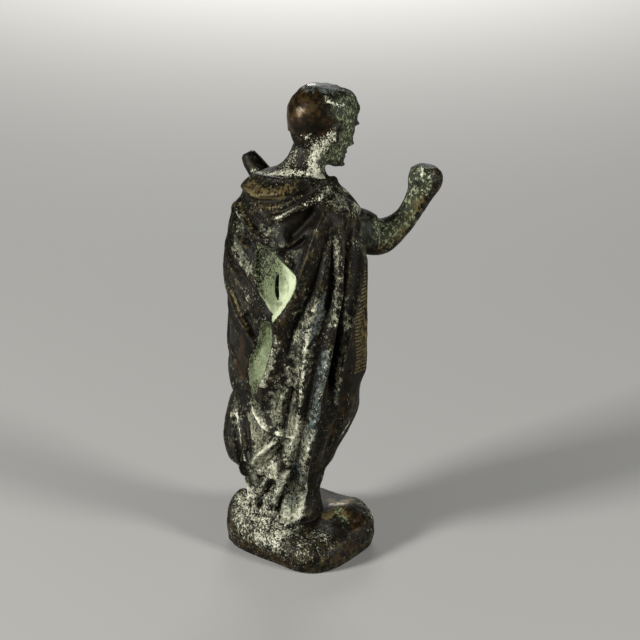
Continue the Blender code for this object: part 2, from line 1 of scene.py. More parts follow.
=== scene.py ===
"""The look of a small patinated bronze statuette: one casting of a draped Roman ruler on a rocky base.

Figure lengths are hundredths of the figure's height, and heights start at the ground that it stands on.
A place on the body is a turn in degrees and a height. The turn is 0 at the middle of the back, 90 at the
figure's right side, 180 in front and -90 at its left side. The figure faces -Y.
"""

import math

import bmesh
import bpy
import numpy as np
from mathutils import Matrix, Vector


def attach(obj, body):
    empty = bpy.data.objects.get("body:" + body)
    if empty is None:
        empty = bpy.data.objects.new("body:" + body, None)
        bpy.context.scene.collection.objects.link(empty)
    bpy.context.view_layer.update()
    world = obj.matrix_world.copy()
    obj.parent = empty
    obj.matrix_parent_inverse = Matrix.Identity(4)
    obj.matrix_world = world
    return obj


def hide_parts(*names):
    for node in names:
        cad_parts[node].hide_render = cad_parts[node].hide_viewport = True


bl_info = {
    "name": "Bronze statuette",
    "version": (1, 0, 0),
    "blender": (4, 5, 0),
    "location": "View3D > Sidebar > Statuette",
    "description": "Builds a small patinated bronze of a draped Roman ruler and a plain studio round it",
    "category": "Object",
}

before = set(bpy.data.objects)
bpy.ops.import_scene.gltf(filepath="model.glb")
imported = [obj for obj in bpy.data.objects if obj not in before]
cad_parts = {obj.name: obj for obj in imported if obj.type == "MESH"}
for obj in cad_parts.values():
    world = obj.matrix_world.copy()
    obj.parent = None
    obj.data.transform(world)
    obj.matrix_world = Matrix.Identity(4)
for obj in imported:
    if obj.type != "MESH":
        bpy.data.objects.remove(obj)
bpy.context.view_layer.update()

# Height, centre across, centre front to back, half width, half depth.
BODY_SECTIONS = [
    (-5.0, 2.4, 3.0, 8.6, 7.0),
    (0.0, 2.4, 3.0, 9.4, 7.6),
    (4.5, 2.7, 3.4, 8.6, 7.2),
    (8.0, 2.8, 3.5, 9.5, 7.9),
    (10.7, 3.3, 3.9, 10.9, 9.0),
    (13.3, 3.2, 3.8, 12.6, 10.0),
    (16.0, 3.0, 3.7, 13.6, 10.6),
    (21.0, 1.9, 2.5, 14.8, 11.5),
    (26.0, 0.8, 1.2, 15.4, 12.0),
    (36.0, 0.7, 0.9, 16.2, 12.6),
    (50.0, 0.7, 0.9, 16.3, 12.6),
    (62.0, 0.8, 0.9, 16.5, 12.3),
    (67.5, 0.4, 0.5, 16.0, 11.6),
    (72.0, 0.2, 0.3, 15.0, 10.4),
    (75.0, 0.4, 0.5, 13.8, 9.2),
    (77.0, 0.8, 0.9, 12.2, 8.2),
    (78.8, 1.1, 1.0, 10.2, 7.2),
    (80.2, 0.8, 0.4, 7.8, 6.2),
    (81.4, 0.2, -0.4, 5.8, 5.2),
    (83.0, -0.5, -1.4, 4.7, 4.5),
    (85.0, -0.9, -2.4, 4.4, 4.3),
    (88.0, -1.5, -3.6, 4.3, 4.4),
    (93.0, -2.0, -5.0, 4.4, 4.6),
]

# Folds: places along each, how far it stands out, and how wide it is on its left and its right as it runs.
FOLDS = [
    # The edge of the cloth round the neck.
    ([(-92, 79.0), (-50, 79.5), (-12, 80.2), (14, 80.4), (60, 80.4), (100, 80.0), (140, 79.2), (180, 77.5),
      (220, 78.0), (262, 79.0)], 0.9, 0.5, 1.2),
    # The thick roll under it, across the top of the back.
    ([(-70, 77.2), (-41, 76.6), (-19, 76.5), (-2, 77.1), (16, 78.0), (29, 79.1), (42, 80.0),
      (63, 80.5)], 1.3, 2.3, 0.45),
    # Curved folds of the panel between the shoulders, and the dark creases between them.
    ([(90, 79.7), (64, 79.3), (42, 78.1), (26, 76.8), (13, 75.6), (-1, 74.9), (-17, 74.7)], 0.7, 0.6, 0.9),
    ([(86, 78.7), (66, 77.8), (47, 76.7), (31, 75.3), (19, 73.9), (9, 73.1), (-1, 72.8)], 1.1, 0.6, 1.1),
    ([(57, 76.3), (43, 74.6), (34, 72.4), (26, 70.4), (20, 69.2)], -1.5, 1.6, 1.6),
    ([(46, 73.0), (36, 71.3), (29, 69.2), (21, 67.7)], 0.6, 0.9, 0.9),
    ([(41, 70.5), (34, 68.8), (25, 67.3), (16, 66.5)], -0.8, 0.6, 0.6),
    ([(-25, 73.8), (-13, 72.5), (-4, 71.6), (7, 70.9)], 0.6, 1.0, 0.6),
    ([(-43, 73.4), (-25, 72.2), (-12, 70.9), (-1, 69.9)], -0.6, 0.6, 0.6),
    # The panel's left edge, which lies over the folds from the left shoulder.
    ([(-66, 73.6), (-41, 72.1), (-23, 70.6), (-10, 69.1), (2, 67.9), (12, 66.7), (21, 65.4), (29, 63.7),
      (36, 61.6)], 1.6, 1.7, 0.45),
    # The long edge of the cloth on the right, from the shoulder to its low point on the left.
    ([(96, 79.2), (75, 77.7), (59, 75.3), (51, 72.6), (46, 69.7), (43, 66.6), (40, 63.7), (38, 61.0),
      (34, 58.2), (28, 55.3), (21, 52.4), (18, 50.7), (18, 47.8), (17, 45.0), (14, 41.2), (8, 36.7),
      (0, 32.6), (-10, 28.5)], 2.1, 3.4, 1.1),
    # Its lower hem.
    ([(-11, 29.1), (-3, 26.8), (6, 24.6), (17, 23.8), (28, 23.6), (38, 24.1)], 1.2, 1.6, 0.4),
    # Upright folds of that cloth, and the grooves between them.
    ([(65, 75.3), (57, 71.8), (53, 67.6), (51, 63.3), (48, 58.8), (42, 55.1), (36, 51.7), (31, 48.1),
      (27, 43.9), (23, 40.0)], -1.3, 1.1, 1.2),
    ([(61, 71.3), (57, 67.6), (57, 63.2), (53, 57.9), (48, 53.0), (44, 47.2), (42, 41.2), (40, 35.1),
      (37, 30.1), (37, 25.1), (38, 20.8), (40, 16.4), (38, 11.1), (31, 7.0), (19, 3.4), (12, 0.1),
      (11, -2.1)], 1.5, 1.1, 1.2),
    ([(66, 72.5), (63, 67.5), (64, 62.7), (63, 57.3), (58, 52.2)], -0.9, 0.7, 0.7),
    ([(88, 75.8), (74, 71.5), (72, 64.7), (73, 58.3), (70, 53.3), (67, 48.7), (64, 44.6), (60, 39.9),
      (56, 35.6), (53, 31.4), (52, 26.7), (54, 22.6), (59, 18.3), (63, 13.6), (70, 7.7), (70, 4.0),
      (62, 1.6), (55, -0.7)], 2.1, 0.8, 1.6),
    ([(101, 74.2), (86, 69.4), (82, 63.8), (79, 58.0), (75, 53.1), (72, 47.8), (68, 42.1), (64, 36.4),
      (61, 32.0)], -1.5, 0.8, 0.8),
    ([(109, 70.5), (102, 66.9), (101, 62.4), (98, 57.8), (91, 53.1), (85, 49.2), (80, 45.0), (75, 41.2),
      (73, 37.0), (73, 33.6), (72, 30.6)], 1.6, 0.8, 1.0),
    ([(111, 61.6), (107, 56.8), (98, 52.1), (93, 46.6), (88, 41.4), (85, 36.3), (83, 31.0), (79, 25.4),
      (86, 19.1), (95, 12.8)], -1.3, 1.6, 1.1),
    ([(69, 32.5), (72, 31.1), (72, 29.8)], 0.5, 0.5, 0.5),
    ([(27, 43.9), (29, 39.3), (28, 34.8), (23, 31.7)], 0.5, 0.8, 0.8),
    ([(24, 34.2), (22, 31.6), (20, 28.5)], 0.6, 0.5, 0.6),
    ([(33, 36.5), (28, 31.8), (25, 27.2), (26, 23.7)], -1.0, 0.9, 0.9),
    ([(35, 23.5), (35, 19.4), (34, 15.5), (32, 11.6)], 1.0, 0.9, 0.8),
    # The floors of the two pockets, which fall towards the edge that lies over them.
    ([(4, 69.0), (10, 65.5), (17, 62.0), (23, 58.5), (24, 55.5), (20, 51.0)], -1.7, 1.9, 4.2),
    ([(14, 51.0), (12, 46.5), (8, 41.5), (0, 36.0), (-8, 31.0)], -1.2, 1.3, 2.4),
    # The band down its side, and its edge below.
    ([(124, 67.0), (121, 56.0), (120, 45.0), (121, 31.0)], 1.3, 2.2, 2.2),
    ([(119, 31.0), (112, 24.0), (106, 17.0), (100, 9.0)], 0.4, 1.5, 0.7),
    # The top of the right shoulder.
    ([(112, 80.0), (124, 78.6), (133, 76.0), (132, 72.0)], 0.9, 1.6, 1.6),
    # Folds that sweep down the left side from the left shoulder, and their creases.
    ([(-74, 72.0), (-48, 68.8), (-33, 67.5), (-21, 66.1), (-12, 64.9)], 0.8, 0.9, 0.6),
    ([(-28, 69.0), (-20, 68.0), (-12, 66.8), (-5, 65.4)], -0.9, 1.0, 1.0),
    ([(-80, 74.0), (-64, 69.7), (-47, 66.1), (-30, 64.0), (-18, 62.0), (-11, 60.2)], 1.0, 0.8, 0.9),
    ([(-72, 68.0), (-56, 64.8), (-40, 62.4), (-24, 60.2), (-11, 58.3), (-3, 56.6), (5, 54.3),
      (13, 52.0)], -0.6, 0.45, 0.7),
    ([(-80, 68.0), (-60, 63.6), (-36, 60.2), (-21, 57.8), (-11, 55.5), (-3, 53.3),
      (5, 50.8)], 0.9, 0.9, 0.9),
    ([(-74, 63.4), (-56, 60.0), (-42, 57.4), (-27, 54.8), (-17, 52.2), (-8, 49.8),
      (-1, 47.3)], -0.8, 0.5, 0.5),
    ([(-84, 66.0), (-66, 60.2), (-50, 56.0), (-34, 52.4), (-23, 49.7), (-13, 47.3), (-5, 44.6),
      (0, 42.4)], 1.1, 0.5, 0.9),
    ([(-17, 50.5), (-10, 48.1), (-2, 45.1)], -1.0, 1.2, 1.2),
    ([(-72, 55.0), (-56, 50.6), (-40, 46.8), (-24, 43.4)], 0.5, 0.5, 0.5),
    ([(-96, 70.0), (-86, 57.0), (-72, 47.0), (-60, 39.5), (-54, 34.0)], 0.9, 1.1, 1.1),
    ([(-110, 71.0), (-104, 58.0), (-90, 46.0), (-76, 36.5)], 0.8, 1.1, 1.1),
    ([(-50, 40.0), (-38, 38.2), (-27, 36.0), (-20, 33.7), (-15, 30.3)], 0.7, 1.0, 1.0),
    ([(-100, 38.0), (-76, 35.2), (-60, 33.4), (-47, 31.0), (-36, 29.4), (-22, 29.6)], 0.9, 2.2, 0.6),
    # The lower garment on the left, its zigzag folds and their hollows.
    ([(-42, 28.4), (-37, 24.6), (-28, 21.5), (-20, 18.5), (-15, 15.4), (-14, 12.0),
      (-22, 8.0)], 1.2, 0.6, 0.9),
    ([(-22, 25.6), (-13, 22.0), (-5, 18.5), (0, 15.2)], -1.1, 1.1, 1.0),
    ([(-64, 28.0), (-60, 23.5), (-58, 19.0), (-50, 15.0), (-40, 12.5), (-27, 11.0)], 0.9, 0.9, 0.9),
    ([(23, 23.6), (21, 21.4), (15, 19.3), (9, 17.0), (3, 13.2)], 1.4, 1.0, 0.5),
    ([(28, 21.8), (27, 19.1), (24, 16.2), (15, 14.0)], -1.2, 1.1, 1.0),
    ([(15, 13.4), (-3, 7.8), (-15, 2.3), (-22, -3.0)], 0.9, 0.9, 0.6),
    ([(38, 18.6), (35, 14.9), (24, 11.3), (2, 6.4), (-2, 2.2)], 0.7, 0.7, 0.7),
    ([(29, 12.2), (14, 7.6), (-1, 4.1), (-11, -0.2)], -0.8, 0.7, 0.7),
    ([(46, 10.5), (37, 7.1), (30, 3.9), (20, 0.4)], -1.5, 0.9, 0.9),
    ([(-30, 9.0), (-34, 4.0), (-38, -1.0)], 0.8, 0.8, 0.8),
    # The sweep of cloth across the front, over the left arm.
    ([(128, 48.0), (152, 50.0), (180, 56.0), (212, 65.0), (244, 73.0), (266, 78.0)], 1.1, 1.3, 1.0),
    ([(134, 54.0), (156, 57.0), (182, 63.0), (212, 70.5), (240, 76.0)], 0.9, 1.2, 0.9),
    ([(140, 61.0), (160, 64.5), (186, 69.5), (214, 75.0)], 0.8, 1.1, 0.9),
    ([(124, 41.0), (150, 43.0), (182, 49.0), (216, 58.0), (250, 68.0)], 0.8, 1.2, 1.0),
    ([(272, 74.0), (268, 62.0), (252, 52.0), (228, 47.0), (206, 47.0)], 1.5, 2.8, 2.2),
    ([(262, 44.0), (236, 41.0), (206, 40.0), (172, 37.0), (144, 33.0), (124, 30.0)], 0.9, 0.6, 2.0),
    # Upright folds below it.
    ([(146, 33.0), (146, 20.0), (142, 8.0), (140, -1.0)], 0.9, 1.1, 1.1),
    ([(166, 36.0), (164, 22.0), (160, 9.0), (158, -1.0)], 0.8, 1.0, 1.0),
    ([(186, 38.0), (184, 24.0), (181, 10.0), (180, -1.0)], 1.0, 1.2, 1.2),
    ([(208, 39.0), (208, 25.0), (205, 11.0), (202, -1.0)], 0.9, 1.1, 1.1),
    ([(232, 40.0), (232, 26.0), (228, 12.0), (224, -1.0)], 0.9, 1.1, 1.1),
    ([(256, 42.0), (256, 28.0), (252, 14.0), (250, -1.0)], 0.8, 1.1, 1.1),
    ([(278, 40.0), (280, 27.0), (276, 14.0), (276, -1.0)], 0.8, 1.2, 1.2),
    ([(126, 30.0), (124, 20.0), (120, 9.0), (116, -1.0)], 0.8, 1.0, 1.0),
    # The neckline falls forward on the chest.
    ([(104, 77.0), (132, 72.0), (160, 69.0), (186, 69.0)], 0.7, 1.0, 0.9),
]

# Hollows: places round each, clockwise as seen from outside, its depth and the width of its slope.
HOLLOWS = [
    ([(-7, 66.9), (2, 67.2), (12, 66.3), (21, 64.9), (29, 63.2), (35, 61.6), (36, 60.3), (33, 57.7), (27, 55.0),
      (21, 52.4), (18, 51.3), (12, 52.7), (5, 54.8), (0, 57.0), (-3, 60.0), (-6, 63.9)], 1.0, 1.2),
    ([(4, 49.8), (10, 50.4), (16, 49.6), (17, 46.9), (15, 43.4), (11, 39.3), (4, 34.9), (-6, 31.1), (-12, 32.5),
      (-13, 36.4), (-11, 40.4), (-4, 43.5), (0, 46.7)], 1.0, 1.2),
    ([(13, 60.8), (15, 60.6), (16, 57.6), (16, 55.2), (14, 55.4), (13, 58.0)], 1.2, 0.4),
]

# The head from its own middle: height, middle front to back, half width, half depth.
HEAD_SECTIONS = [
    (-8.7, 3.9, 1.7, 1.6),
    (-8.2, 3.0, 3.0, 3.7),
    (-7.1, 1.8, 4.3, 5.2),
    (-5.5, 0.7, 5.2, 6.3),
    (-3.6, 0.0, 5.8, 7.1),
    (-1.3, -0.3, 6.3, 7.7),
    (1.2, -0.5, 6.7, 8.2),
    (3.6, -0.5, 6.9, 8.2),
    (5.9, -0.4, 6.3, 7.4),
    (7.7, -0.3, 5.1, 6.0),
    (8.8, -0.3, 3.3, 3.9),
    (9.2, -0.3, 1.4, 1.7),
]
HEAD_MIDDLE = (-2.2, -5.4, 90.4)
HEAD_TURN = 20
HEAD_BOW = 14

# Forms of the face, the ears and the hair: across, forward, up, how far each stands out, and its half width
# and half height. Each stands on both sides of the head.
HEAD_FORMS = [
    # The bridge of the nose, its tip and its wings.
    (0.0, 7.6, -0.6, 1.3, 0.8, 2.4),
    (0.0, 7.8, -2.9, 1.9, 0.8, 0.8),
    (1.0, 7.2, -3.2, 0.7, 0.5, 0.5),
    # The brow, the eye sockets, the lids and the cheeks.
    (2.1, 7.0, 1.9, 0.8, 1.6, 0.5),
    (2.3, 7.0, 0.4, -1.3, 1.1, 0.8),
    (2.4, 6.6, 0.2, 0.7, 0.9, 0.42),
    (2.4, 6.6, -0.1, -0.25, 0.8, 0.12),
    (3.9, 5.4, -1.8, 0.6, 1.4, 1.1),
    (3.6, 5.2, -5.0, -0.4, 1.5, 1.4),
    # The lips, the line between them, the dip below them and the chin.
    (0.0, 7.1, -4.9, 0.8, 1.4, 0.45),
    (0.0, 7.1, -5.45, -0.5, 1.5, 0.16),
    (0.0, 6.9, -6.0, 0.7, 1.1, 0.4),
    (0.0, 6.8, -6.9, -0.3, 1.2, 0.35),
    (0.0, 6.6, -7.8, 0.9, 1.4, 0.8),
    # The ears: the rim, the bowl and the lobe.
    (6.2, -0.4, 0.0, 1.5, 0.8, 1.5),
    (6.6, 0.1, 0.1, -0.9, 0.4, 0.8),
    (6.2, 0.0, -1.8, 0.8, 0.6, 0.7),
]

# The lower edge of the cap of hair: the turn from the back of the head, and its height.
HAIR_EDGE = [(0, -2.6), (35, -2.4), (70, 0.4), (88, 2.4), (110, 1.4), (135, 4.2), (160, 5.3), (180, 5.5)]
HAIR_DEPTH = 0.45
HAIR_SLOPE = 0.5
# The locks, which show in front and are worn smooth at the back.
LOCK_DEPTH = 0.16

# Swept forms: x, y, height and radius at places along each.
ARM = [
    (-6.5, -3.5, 70.5, 4.4),
    (-10.0, -8.0, 67.8, 4.7),
    (-13.0, -11.0, 66.1, 4.4),
    (-15.4, -12.8, 67.3, 3.4),
    (-17.9, -15.0, 70.3, 2.6),
    (-20.0, -16.8, 75.2, 2.8),
    (-21.0, -17.6, 79.0, 3.8),
    (-21.2, -17.8, 81.2, 3.4),
]
STUB = [(8.6, -1.8, 74.0, 2.7), (12.0, -1.4, 77.2, 2.5), (14.4, -1.0, 79.8, 2.2), (15.7, -0.7, 81.7, 1.7)]
FEET = [
    [(2.0, 0.0, 1.6, 2.0), (1.4, -3.8, 1.2, 1.9), (1.0, -6.3, 0.7, 1.5)],
    [(6.0, 0.6, 1.8, 2.0), (7.2, -3.2, 1.4, 1.9), (8.0, -5.8, 0.8, 1.5)],
]

# The rock's outline, up its side and in over its top: the share of the way, of the half width, of the side's
# height, and of the way from there to the height of the top.
ROCK_OUTLINE = [
    (0.00, 0.925, -0.25, 0.00),
    (0.07, 0.955, 0.00, 0.00),
    (0.18, 0.992, 0.34, 0.00),
    (0.28, 1.000, 0.60, 0.00),
    (0.38, 0.985, 0.84, 0.04),
    (0.47, 0.945, 1.00, 0.14),
    (0.56, 0.870, 1.00, 0.34),
    (0.67, 0.740, 1.00, 0.62),
    (0.80, 0.520, 1.00, 0.86),
    (0.91, 0.260, 1.00, 0.97),
    (1.00, 0.003, 1.00, 1.00),
]

# Humps and dips of the rock: x, y, rise and spread.
HUMPS = [
    (11.6, 8.2, 4.2, 3.3),
    (6.0, 8.5, 1.2, 3.0),
    (1.0, 10.5, 1.3, 2.6),
    (-4.5, 8.5, -0.9, 2.6),
    (-8.5, 3.5, -1.0, 3.2),
    (-10.5, -4.5, 1.4, 3.4),
    (-8.0, -10.0, 0.7, 3.0),
    (9.5, -8.0, -0.8, 3.6),
]

# How finely the forms are worked out, and how they are melted into one casting.
BODY_GRID = (640, 760)
HEAD_GRID = (300, 240)
LIMB_GRID = (96, 150)
ROCK_GRID = (420, 150)
MOST_TRIANGLES = 176000
BAND_CUTS = 2

# Seams where two forms meet: middle in hundredths, reach and how many times they are smoothed.
SEAMS = [
    ((-1.6, -3.4, 83.6), 5.2, 14),
    ((-12.6, -10.2, 67.0), 5.6, 16),
    ((11.6, -1.2, 77.0), 3.2, 10),
]


def smooth_curve(keys, at):
    """A smooth curve through the keys, read at the given places: a cubic between each two keys, with the mean
    slope of its neighbours at each. The first number of a key is its place and the others are its values."""
    keys = np.asarray(keys, float)
    place, value = keys[:, 0], keys[:, 1:]
    slope = np.gradient(value, place, axis=0)
    at = np.clip(at, place[0], place[-1])
    cell = np.clip(np.searchsorted(place, at, side="right") - 1, 0, len(place) - 2)
    width = (place[cell + 1] - place[cell])[..., None]
    t = (at - place[cell])[..., None] / width
    start = (1 + 2 * t) * (1 - t) ** 2 * value[cell] + t * (1 - t) ** 2 * width * slope[cell]
    end = t * t * (3 - 2 * t) * value[cell + 1] + t * t * (t - 1) * width * slope[cell + 1]
    return start + end


def ease(value):
    """0 below 0, 1 above 1, and a smooth rise 3t^2 - 2t^3 between."""
    t = np.clip(value, 0, 1)
    return t * t * (3 - 2 * t)


def grain(points, size, seed):
    """Noise from -1 to 1 with lumps about size across: random values at the corners of a cubic lattice, eased
    from corner to corner."""
    table = np.random.default_rng(seed).uniform(-1, 1, (32, 32, 32))
    place = points / size
    cell = np.floor(place).astype(int)
    t = place - cell
    t = t * t * (3 - 2 * t)
    total = np.zeros(points.shape[:-1])
    for corner in np.ndindex(2, 2, 2):
        step = np.array(corner)
        weight = np.prod(np.where(step == 1, t, 1 - t), axis=-1)
        x, y, z = np.moveaxis((cell + step) % 32, -1, 0)
        total += weight * table[x, y, z]
    return total


def facets(points, size, seed):
    """Flat chips about size across, from -1 to 1: noise whose slopes are steepened between its levels."""
    value = 1.6 * (grain(points, size, seed) + 1)
    return (np.floor(value) + ease((value % 1 - 0.35) / 0.3)) / 1.6 - 1


def body_point(turn, height, ground):
    """Where a turn and a height lie on the smooth body: an ellipse at each height."""
    x, y, wide, deep = np.moveaxis(smooth_curve(BODY_SECTIONS, height), -1, 0)
    angle = np.radians(turn)
    return np.stack([x - wide * np.sin(angle), y + deep * np.cos(angle), height + ground], axis=-1)


def outward(points):
    """Outward directions of a ring by ring surface: its slope along the rings crossed with its slope up."""
    round_step = np.roll(points, -1, axis=1) - np.roll(points, 1, axis=1)
    rise_step = np.gradient(points, axis=0)
    normal = np.cross(round_step, rise_step)
    normal /= np.maximum(np.linalg.norm(normal, axis=-1, keepdims=True), 1e-9)
    from_middle = points - points.mean(axis=1, keepdims=True)
    return normal * np.sign(np.sum(normal * from_middle, axis=-1, keepdims=True))


def path_distance(points, path):
    """The distance from each point to a path, the nearest place on it, its direction there and the share of
    its length that is behind that place."""
    best = np.full(len(points), np.inf)
    near = np.zeros_like(points)
    heading = np.zeros_like(points)
    share = np.zeros(len(points))
    steps = np.linalg.norm(np.diff(path, axis=0), axis=1)
    behind = np.concatenate([[0], np.cumsum(steps)])
    for i, step in enumerate(steps):
        line = path[i + 1] - path[i]
        t = np.clip((points - path[i]) @ line / (step * step), 0, 1)
        place = path[i] + t[:, None] * line
        gap = np.linalg.norm(points - place, axis=1)
        closer = gap < best
        best = np.where(closer, gap, best)
        near[closer] = place[closer]
        heading[closer] = line / step
        share = np.where(closer, (behind[i] + t * step) / behind[-1], share)
    return best, near, heading, share


def drawn_path(places, ground, closed=False, steps=6):
    """A smooth path on the body through a few places, each a turn and a height."""
    places = np.asarray(places, float)
    if closed:
        places = np.vstack([places[-2:], places, places[:2]])
    count = len(places)
    keys = np.column_stack([np.arange(count), places])
    span = (2, count - 2) if closed else (0, count - 1)
    at = np.linspace(span[0], span[1], steps * (span[1] - span[0]) + 1)
    turn, height = smooth_curve(keys, at).T
    return body_point(turn, height, ground)


def inside_outline(points, out, places, ground):
    """How far inside a closed outline on the body each point lies: its distance from the outline, or less than
    0 outside it."""
    path = drawn_path(places, ground, closed=True)
    middle = path.mean(axis=0)
    reach = np.linalg.norm(path - middle, axis=1).max() + 1
    within = np.full(len(points), -9.0)
    chosen = np.flatnonzero(np.linalg.norm(points - middle, axis=1) < reach)
    gap, near, heading, _ = path_distance(points[chosen], path)
    side = np.einsum("ij,ij->i", np.cross(heading, out[chosen]), points[chosen] - near)
    within[chosen] = np.where(side > 0, gap, -gap)
    return within


def fold_lift(points, out, ground):
    """How far the folds and hollows move each point of the body out: a bell across each fold, wider on one
    side than on the other, and an eased slope inside each hollow's edge."""
    lift = np.zeros(len(points))
    for places, amount, left, right in FOLDS:
        path = drawn_path(places, ground)
        reach = 2.6 * max(left, right)
        inside = np.all((points > path.min(axis=0) - reach) & (points < path.max(axis=0) + reach), axis=1)
        chosen = np.flatnonzero(inside)
        gap, near, heading, share = path_distance(points[chosen], path)
        side = np.einsum("ij,ij->i", np.cross(heading, out[chosen]), points[chosen] - near)
        width = np.where(side > 0, right, left)
        ends = ease(share / 0.16) * ease((1 - share) / 0.16)
        lift[chosen] += amount * ends * np.exp(-((gap / width) ** 2))
    for places, depth, slope in HOLLOWS:
        lift -= depth * ease(inside_outline(points, out, places, ground) / slope)
    return lift


def body_rings(ground):
    """The draped body and neck: elliptical rings spread evenly over the outline, moved out by the folds."""
    columns, rows = BODY_GRID
    fine = np.linspace(BODY_SECTIONS[0][0], BODY_SECTIONS[-1][0], 800)
    outline = smooth_curve(BODY_SECTIONS, fine)[:, 2]
    length = np.concatenate([[0], np.cumsum(np.hypot(np.diff(fine), np.diff(outline)))])
    height = np.interp(np.linspace(0, length[-1], rows), length, fine)
    turn = np.arange(columns) * 360 / columns
    points = body_point(turn[None, :], np.repeat(height[:, None], columns, axis=1), ground)
    normals = outward(points)
    lift = fold_lift(points.reshape(-1, 3), normals.reshape(-1, 3), ground)
    return points + normals * lift.reshape(rows, columns, 1)


def placed_head(points, ground):
    """Points of the head's own frame, bowed, turned and set on the neck."""
    bow, turn = math.radians(HEAD_BOW), math.radians(HEAD_TURN)
    across, forward, up = np.moveaxis(points, -1, 0)
    ahead = forward * math.cos(bow) + up * math.sin(bow)
    rise = up * math.cos(bow) - forward * math.sin(bow)
    x = across * math.cos(turn) - ahead * math.sin(turn)
    y = -across * math.sin(turn) - ahead * math.cos(turn)
    return np.stack([x, y, rise + ground], axis=-1) + np.array(HEAD_MIDDLE)


def head_rings(ground):
    """The head: rings from under the chin to the crown, moved out by a bell at each form of the face, the
    ears and the hair."""
    columns, rows = HEAD_GRID
    low, high = HEAD_SECTIONS[0][0], HEAD_SECTIONS[-1][0]
    up = (low + high) / 2 - (high - low) / 2 * np.cos(np.linspace(0, math.pi, rows))
    middle, wide, deep = smooth_curve(HEAD_SECTIONS, up).T[:, :, None]
    angle = np.arange(columns) * 2 * math.pi / columns
    across = wide * np.sin(angle)
    forward = middle + deep * np.cos(angle)
    points = np.stack([across, forward, np.repeat(up[:, None], columns, axis=1)], axis=-1)
    lift = np.zeros(points.shape[:-1])
    for x, y, z, amount, half_width, half_height in HEAD_FORMS:
        sideways = (np.abs(points[..., 0]) - x) / half_width
        upward = (points[..., 2] - z) / half_height
        ahead = (points[..., 1] - y) / (2.2 * half_width)
        lift += amount * np.exp(-(sideways**2 + upward**2 + ahead**2))
    from_back = np.degrees(np.arccos(np.clip(-np.cos(angle), -1, 1)))
    edge = smooth_curve(HAIR_EDGE, from_back)[:, 0]
    hair = ease((points[..., 2] - edge) / HAIR_SLOPE)
    in_front = 0.15 + 0.85 * ease((from_back - 70) / 50)
    strands = np.sin(2.6 * points[..., 2] + 1.6 * np.sin(5 * angle) + 0.7 * np.sin(13 * angle + points[..., 2]))
    lift += HAIR_DEPTH * (hair - 1) + LOCK_DEPTH * hair * in_front * strands
    return placed_head(points + outward(points) * lift[..., None], ground)


def swept_rings(places, ground):
    """A round limb along a smooth path: rings square to the path, with a smaller ring to round each end."""
    columns, rows = LIMB_GRID
    keys = np.column_stack([np.arange(len(places)), np.asarray(places, float)])
    along = smooth_curve(keys, np.linspace(0, len(places) - 1, rows))
    centre, radius = along[:, :3] + np.array([0, 0, ground]), along[:, 3]
    heading = np.gradient(centre, axis=0)
    heading /= np.linalg.norm(heading, axis=1, keepdims=True)
    side = np.cross(heading, np.array([0.3, 1.0, 0.2]))
    side /= np.linalg.norm(side, axis=1, keepdims=True)
    over = np.cross(heading, side)
    angle = np.arange(columns) * 2 * math.pi / columns
    ring = np.cos(angle)[None, :, None] * side[:, None] + np.sin(angle)[None, :, None] * over[:, None]
    points = centre[:, None] + radius[:, None, None] * ring
    start = centre[:1, None] + 0.6 * radius[0] * ring[:1] - 0.3 * radius[0] * heading[:1, None]
    end = centre[-1:, None] + 0.6 * radius[-1] * ring[-1:] + 0.3 * radius[-1] * heading[-1:, None]
    return np.concatenate([start, points, end])


def rock_rings(ground, half_x, half_y, side_height):
    """The rock: rings on an uneven rounded oblong that follow its outline up and in, with humps and dips."""
    columns, rows = ROCK_GRID
    angle = np.arange(columns) * 2 * math.pi / columns
    c, s = np.cos(angle), np.sin(angle)
    rim = ((np.abs(c) / half_x) ** 3.4 + (np.abs(s) / half_y) ** 3.4) ** (-1 / 3.4)
    rim *= 1 + 0.016 * np.sin(3 * angle - 0.8) + 0.009 * np.sin(5 * angle + 2.1) + 0.005 * np.sin(9 * angle)
    inward, side, rise = smooth_curve(ROCK_OUTLINE, np.linspace(0, 1, rows)).T[:, :, None]
    x, y = rim * inward * c, rim * inward * s
    flank = side_height * (1 + 0.13 * np.sin(2 * angle))
    height = side * flank + rise * (ground - flank)
    for hump_x, hump_y, lift, spread in HUMPS:
        height = height + lift * ease(side) * np.exp(-((x - hump_x) ** 2 + (y - hump_y) ** 2) / spread**2)
    return np.stack([x, y, height], axis=-1)


def ring_mesh(name, rings, unit):
    """A closed mesh from rings of points, each ring round the form, with a point in the middle of each end."""
    rows, columns, _ = rings.shape
    points = np.vstack([rings.reshape(-1, 3), rings[0].mean(axis=0), rings[-1].mean(axis=0)])
    row, column = np.meshgrid(np.arange(rows - 1), np.arange(columns), indexing="ij")
    right = (column + 1) % columns
    below, above = row * columns, (row + 1) * columns
    sides = np.stack([below + column, below + right, above + right, above + column], axis=-1).reshape(-1, 4)
    around = np.arange(columns)
    after = (around + 1) % columns
    first, last, top = rows * columns, rows * columns + 1, (rows - 1) * columns
    start = np.stack([after, around, np.full(columns, first)], axis=-1)
    end = np.stack([top + around, top + after, np.full(columns, last)], axis=-1)
    mesh = bpy.data.meshes.new(name)
    mesh.from_pydata((points * unit).tolist(), [], sides.tolist() + start.tolist() + end.tolist())
    form = bmesh.new()
    form.from_mesh(mesh)
    bmesh.ops.recalc_face_normals(form, faces=form.faces)
    form.to_mesh(mesh)
    form.free()
    return mesh


def joined(name, meshes):
    """One object that holds all the meshes."""
    form = bmesh.new()
    for mesh in meshes:
        form.from_mesh(mesh)
        bpy.data.meshes.remove(mesh)
    whole = bpy.data.meshes.new(name)
    form.to_mesh(whole)
    form.free()
    piece = bpy.data.objects.new(name, whole)
    bpy.context.collection.objects.link(piece)
    return piece


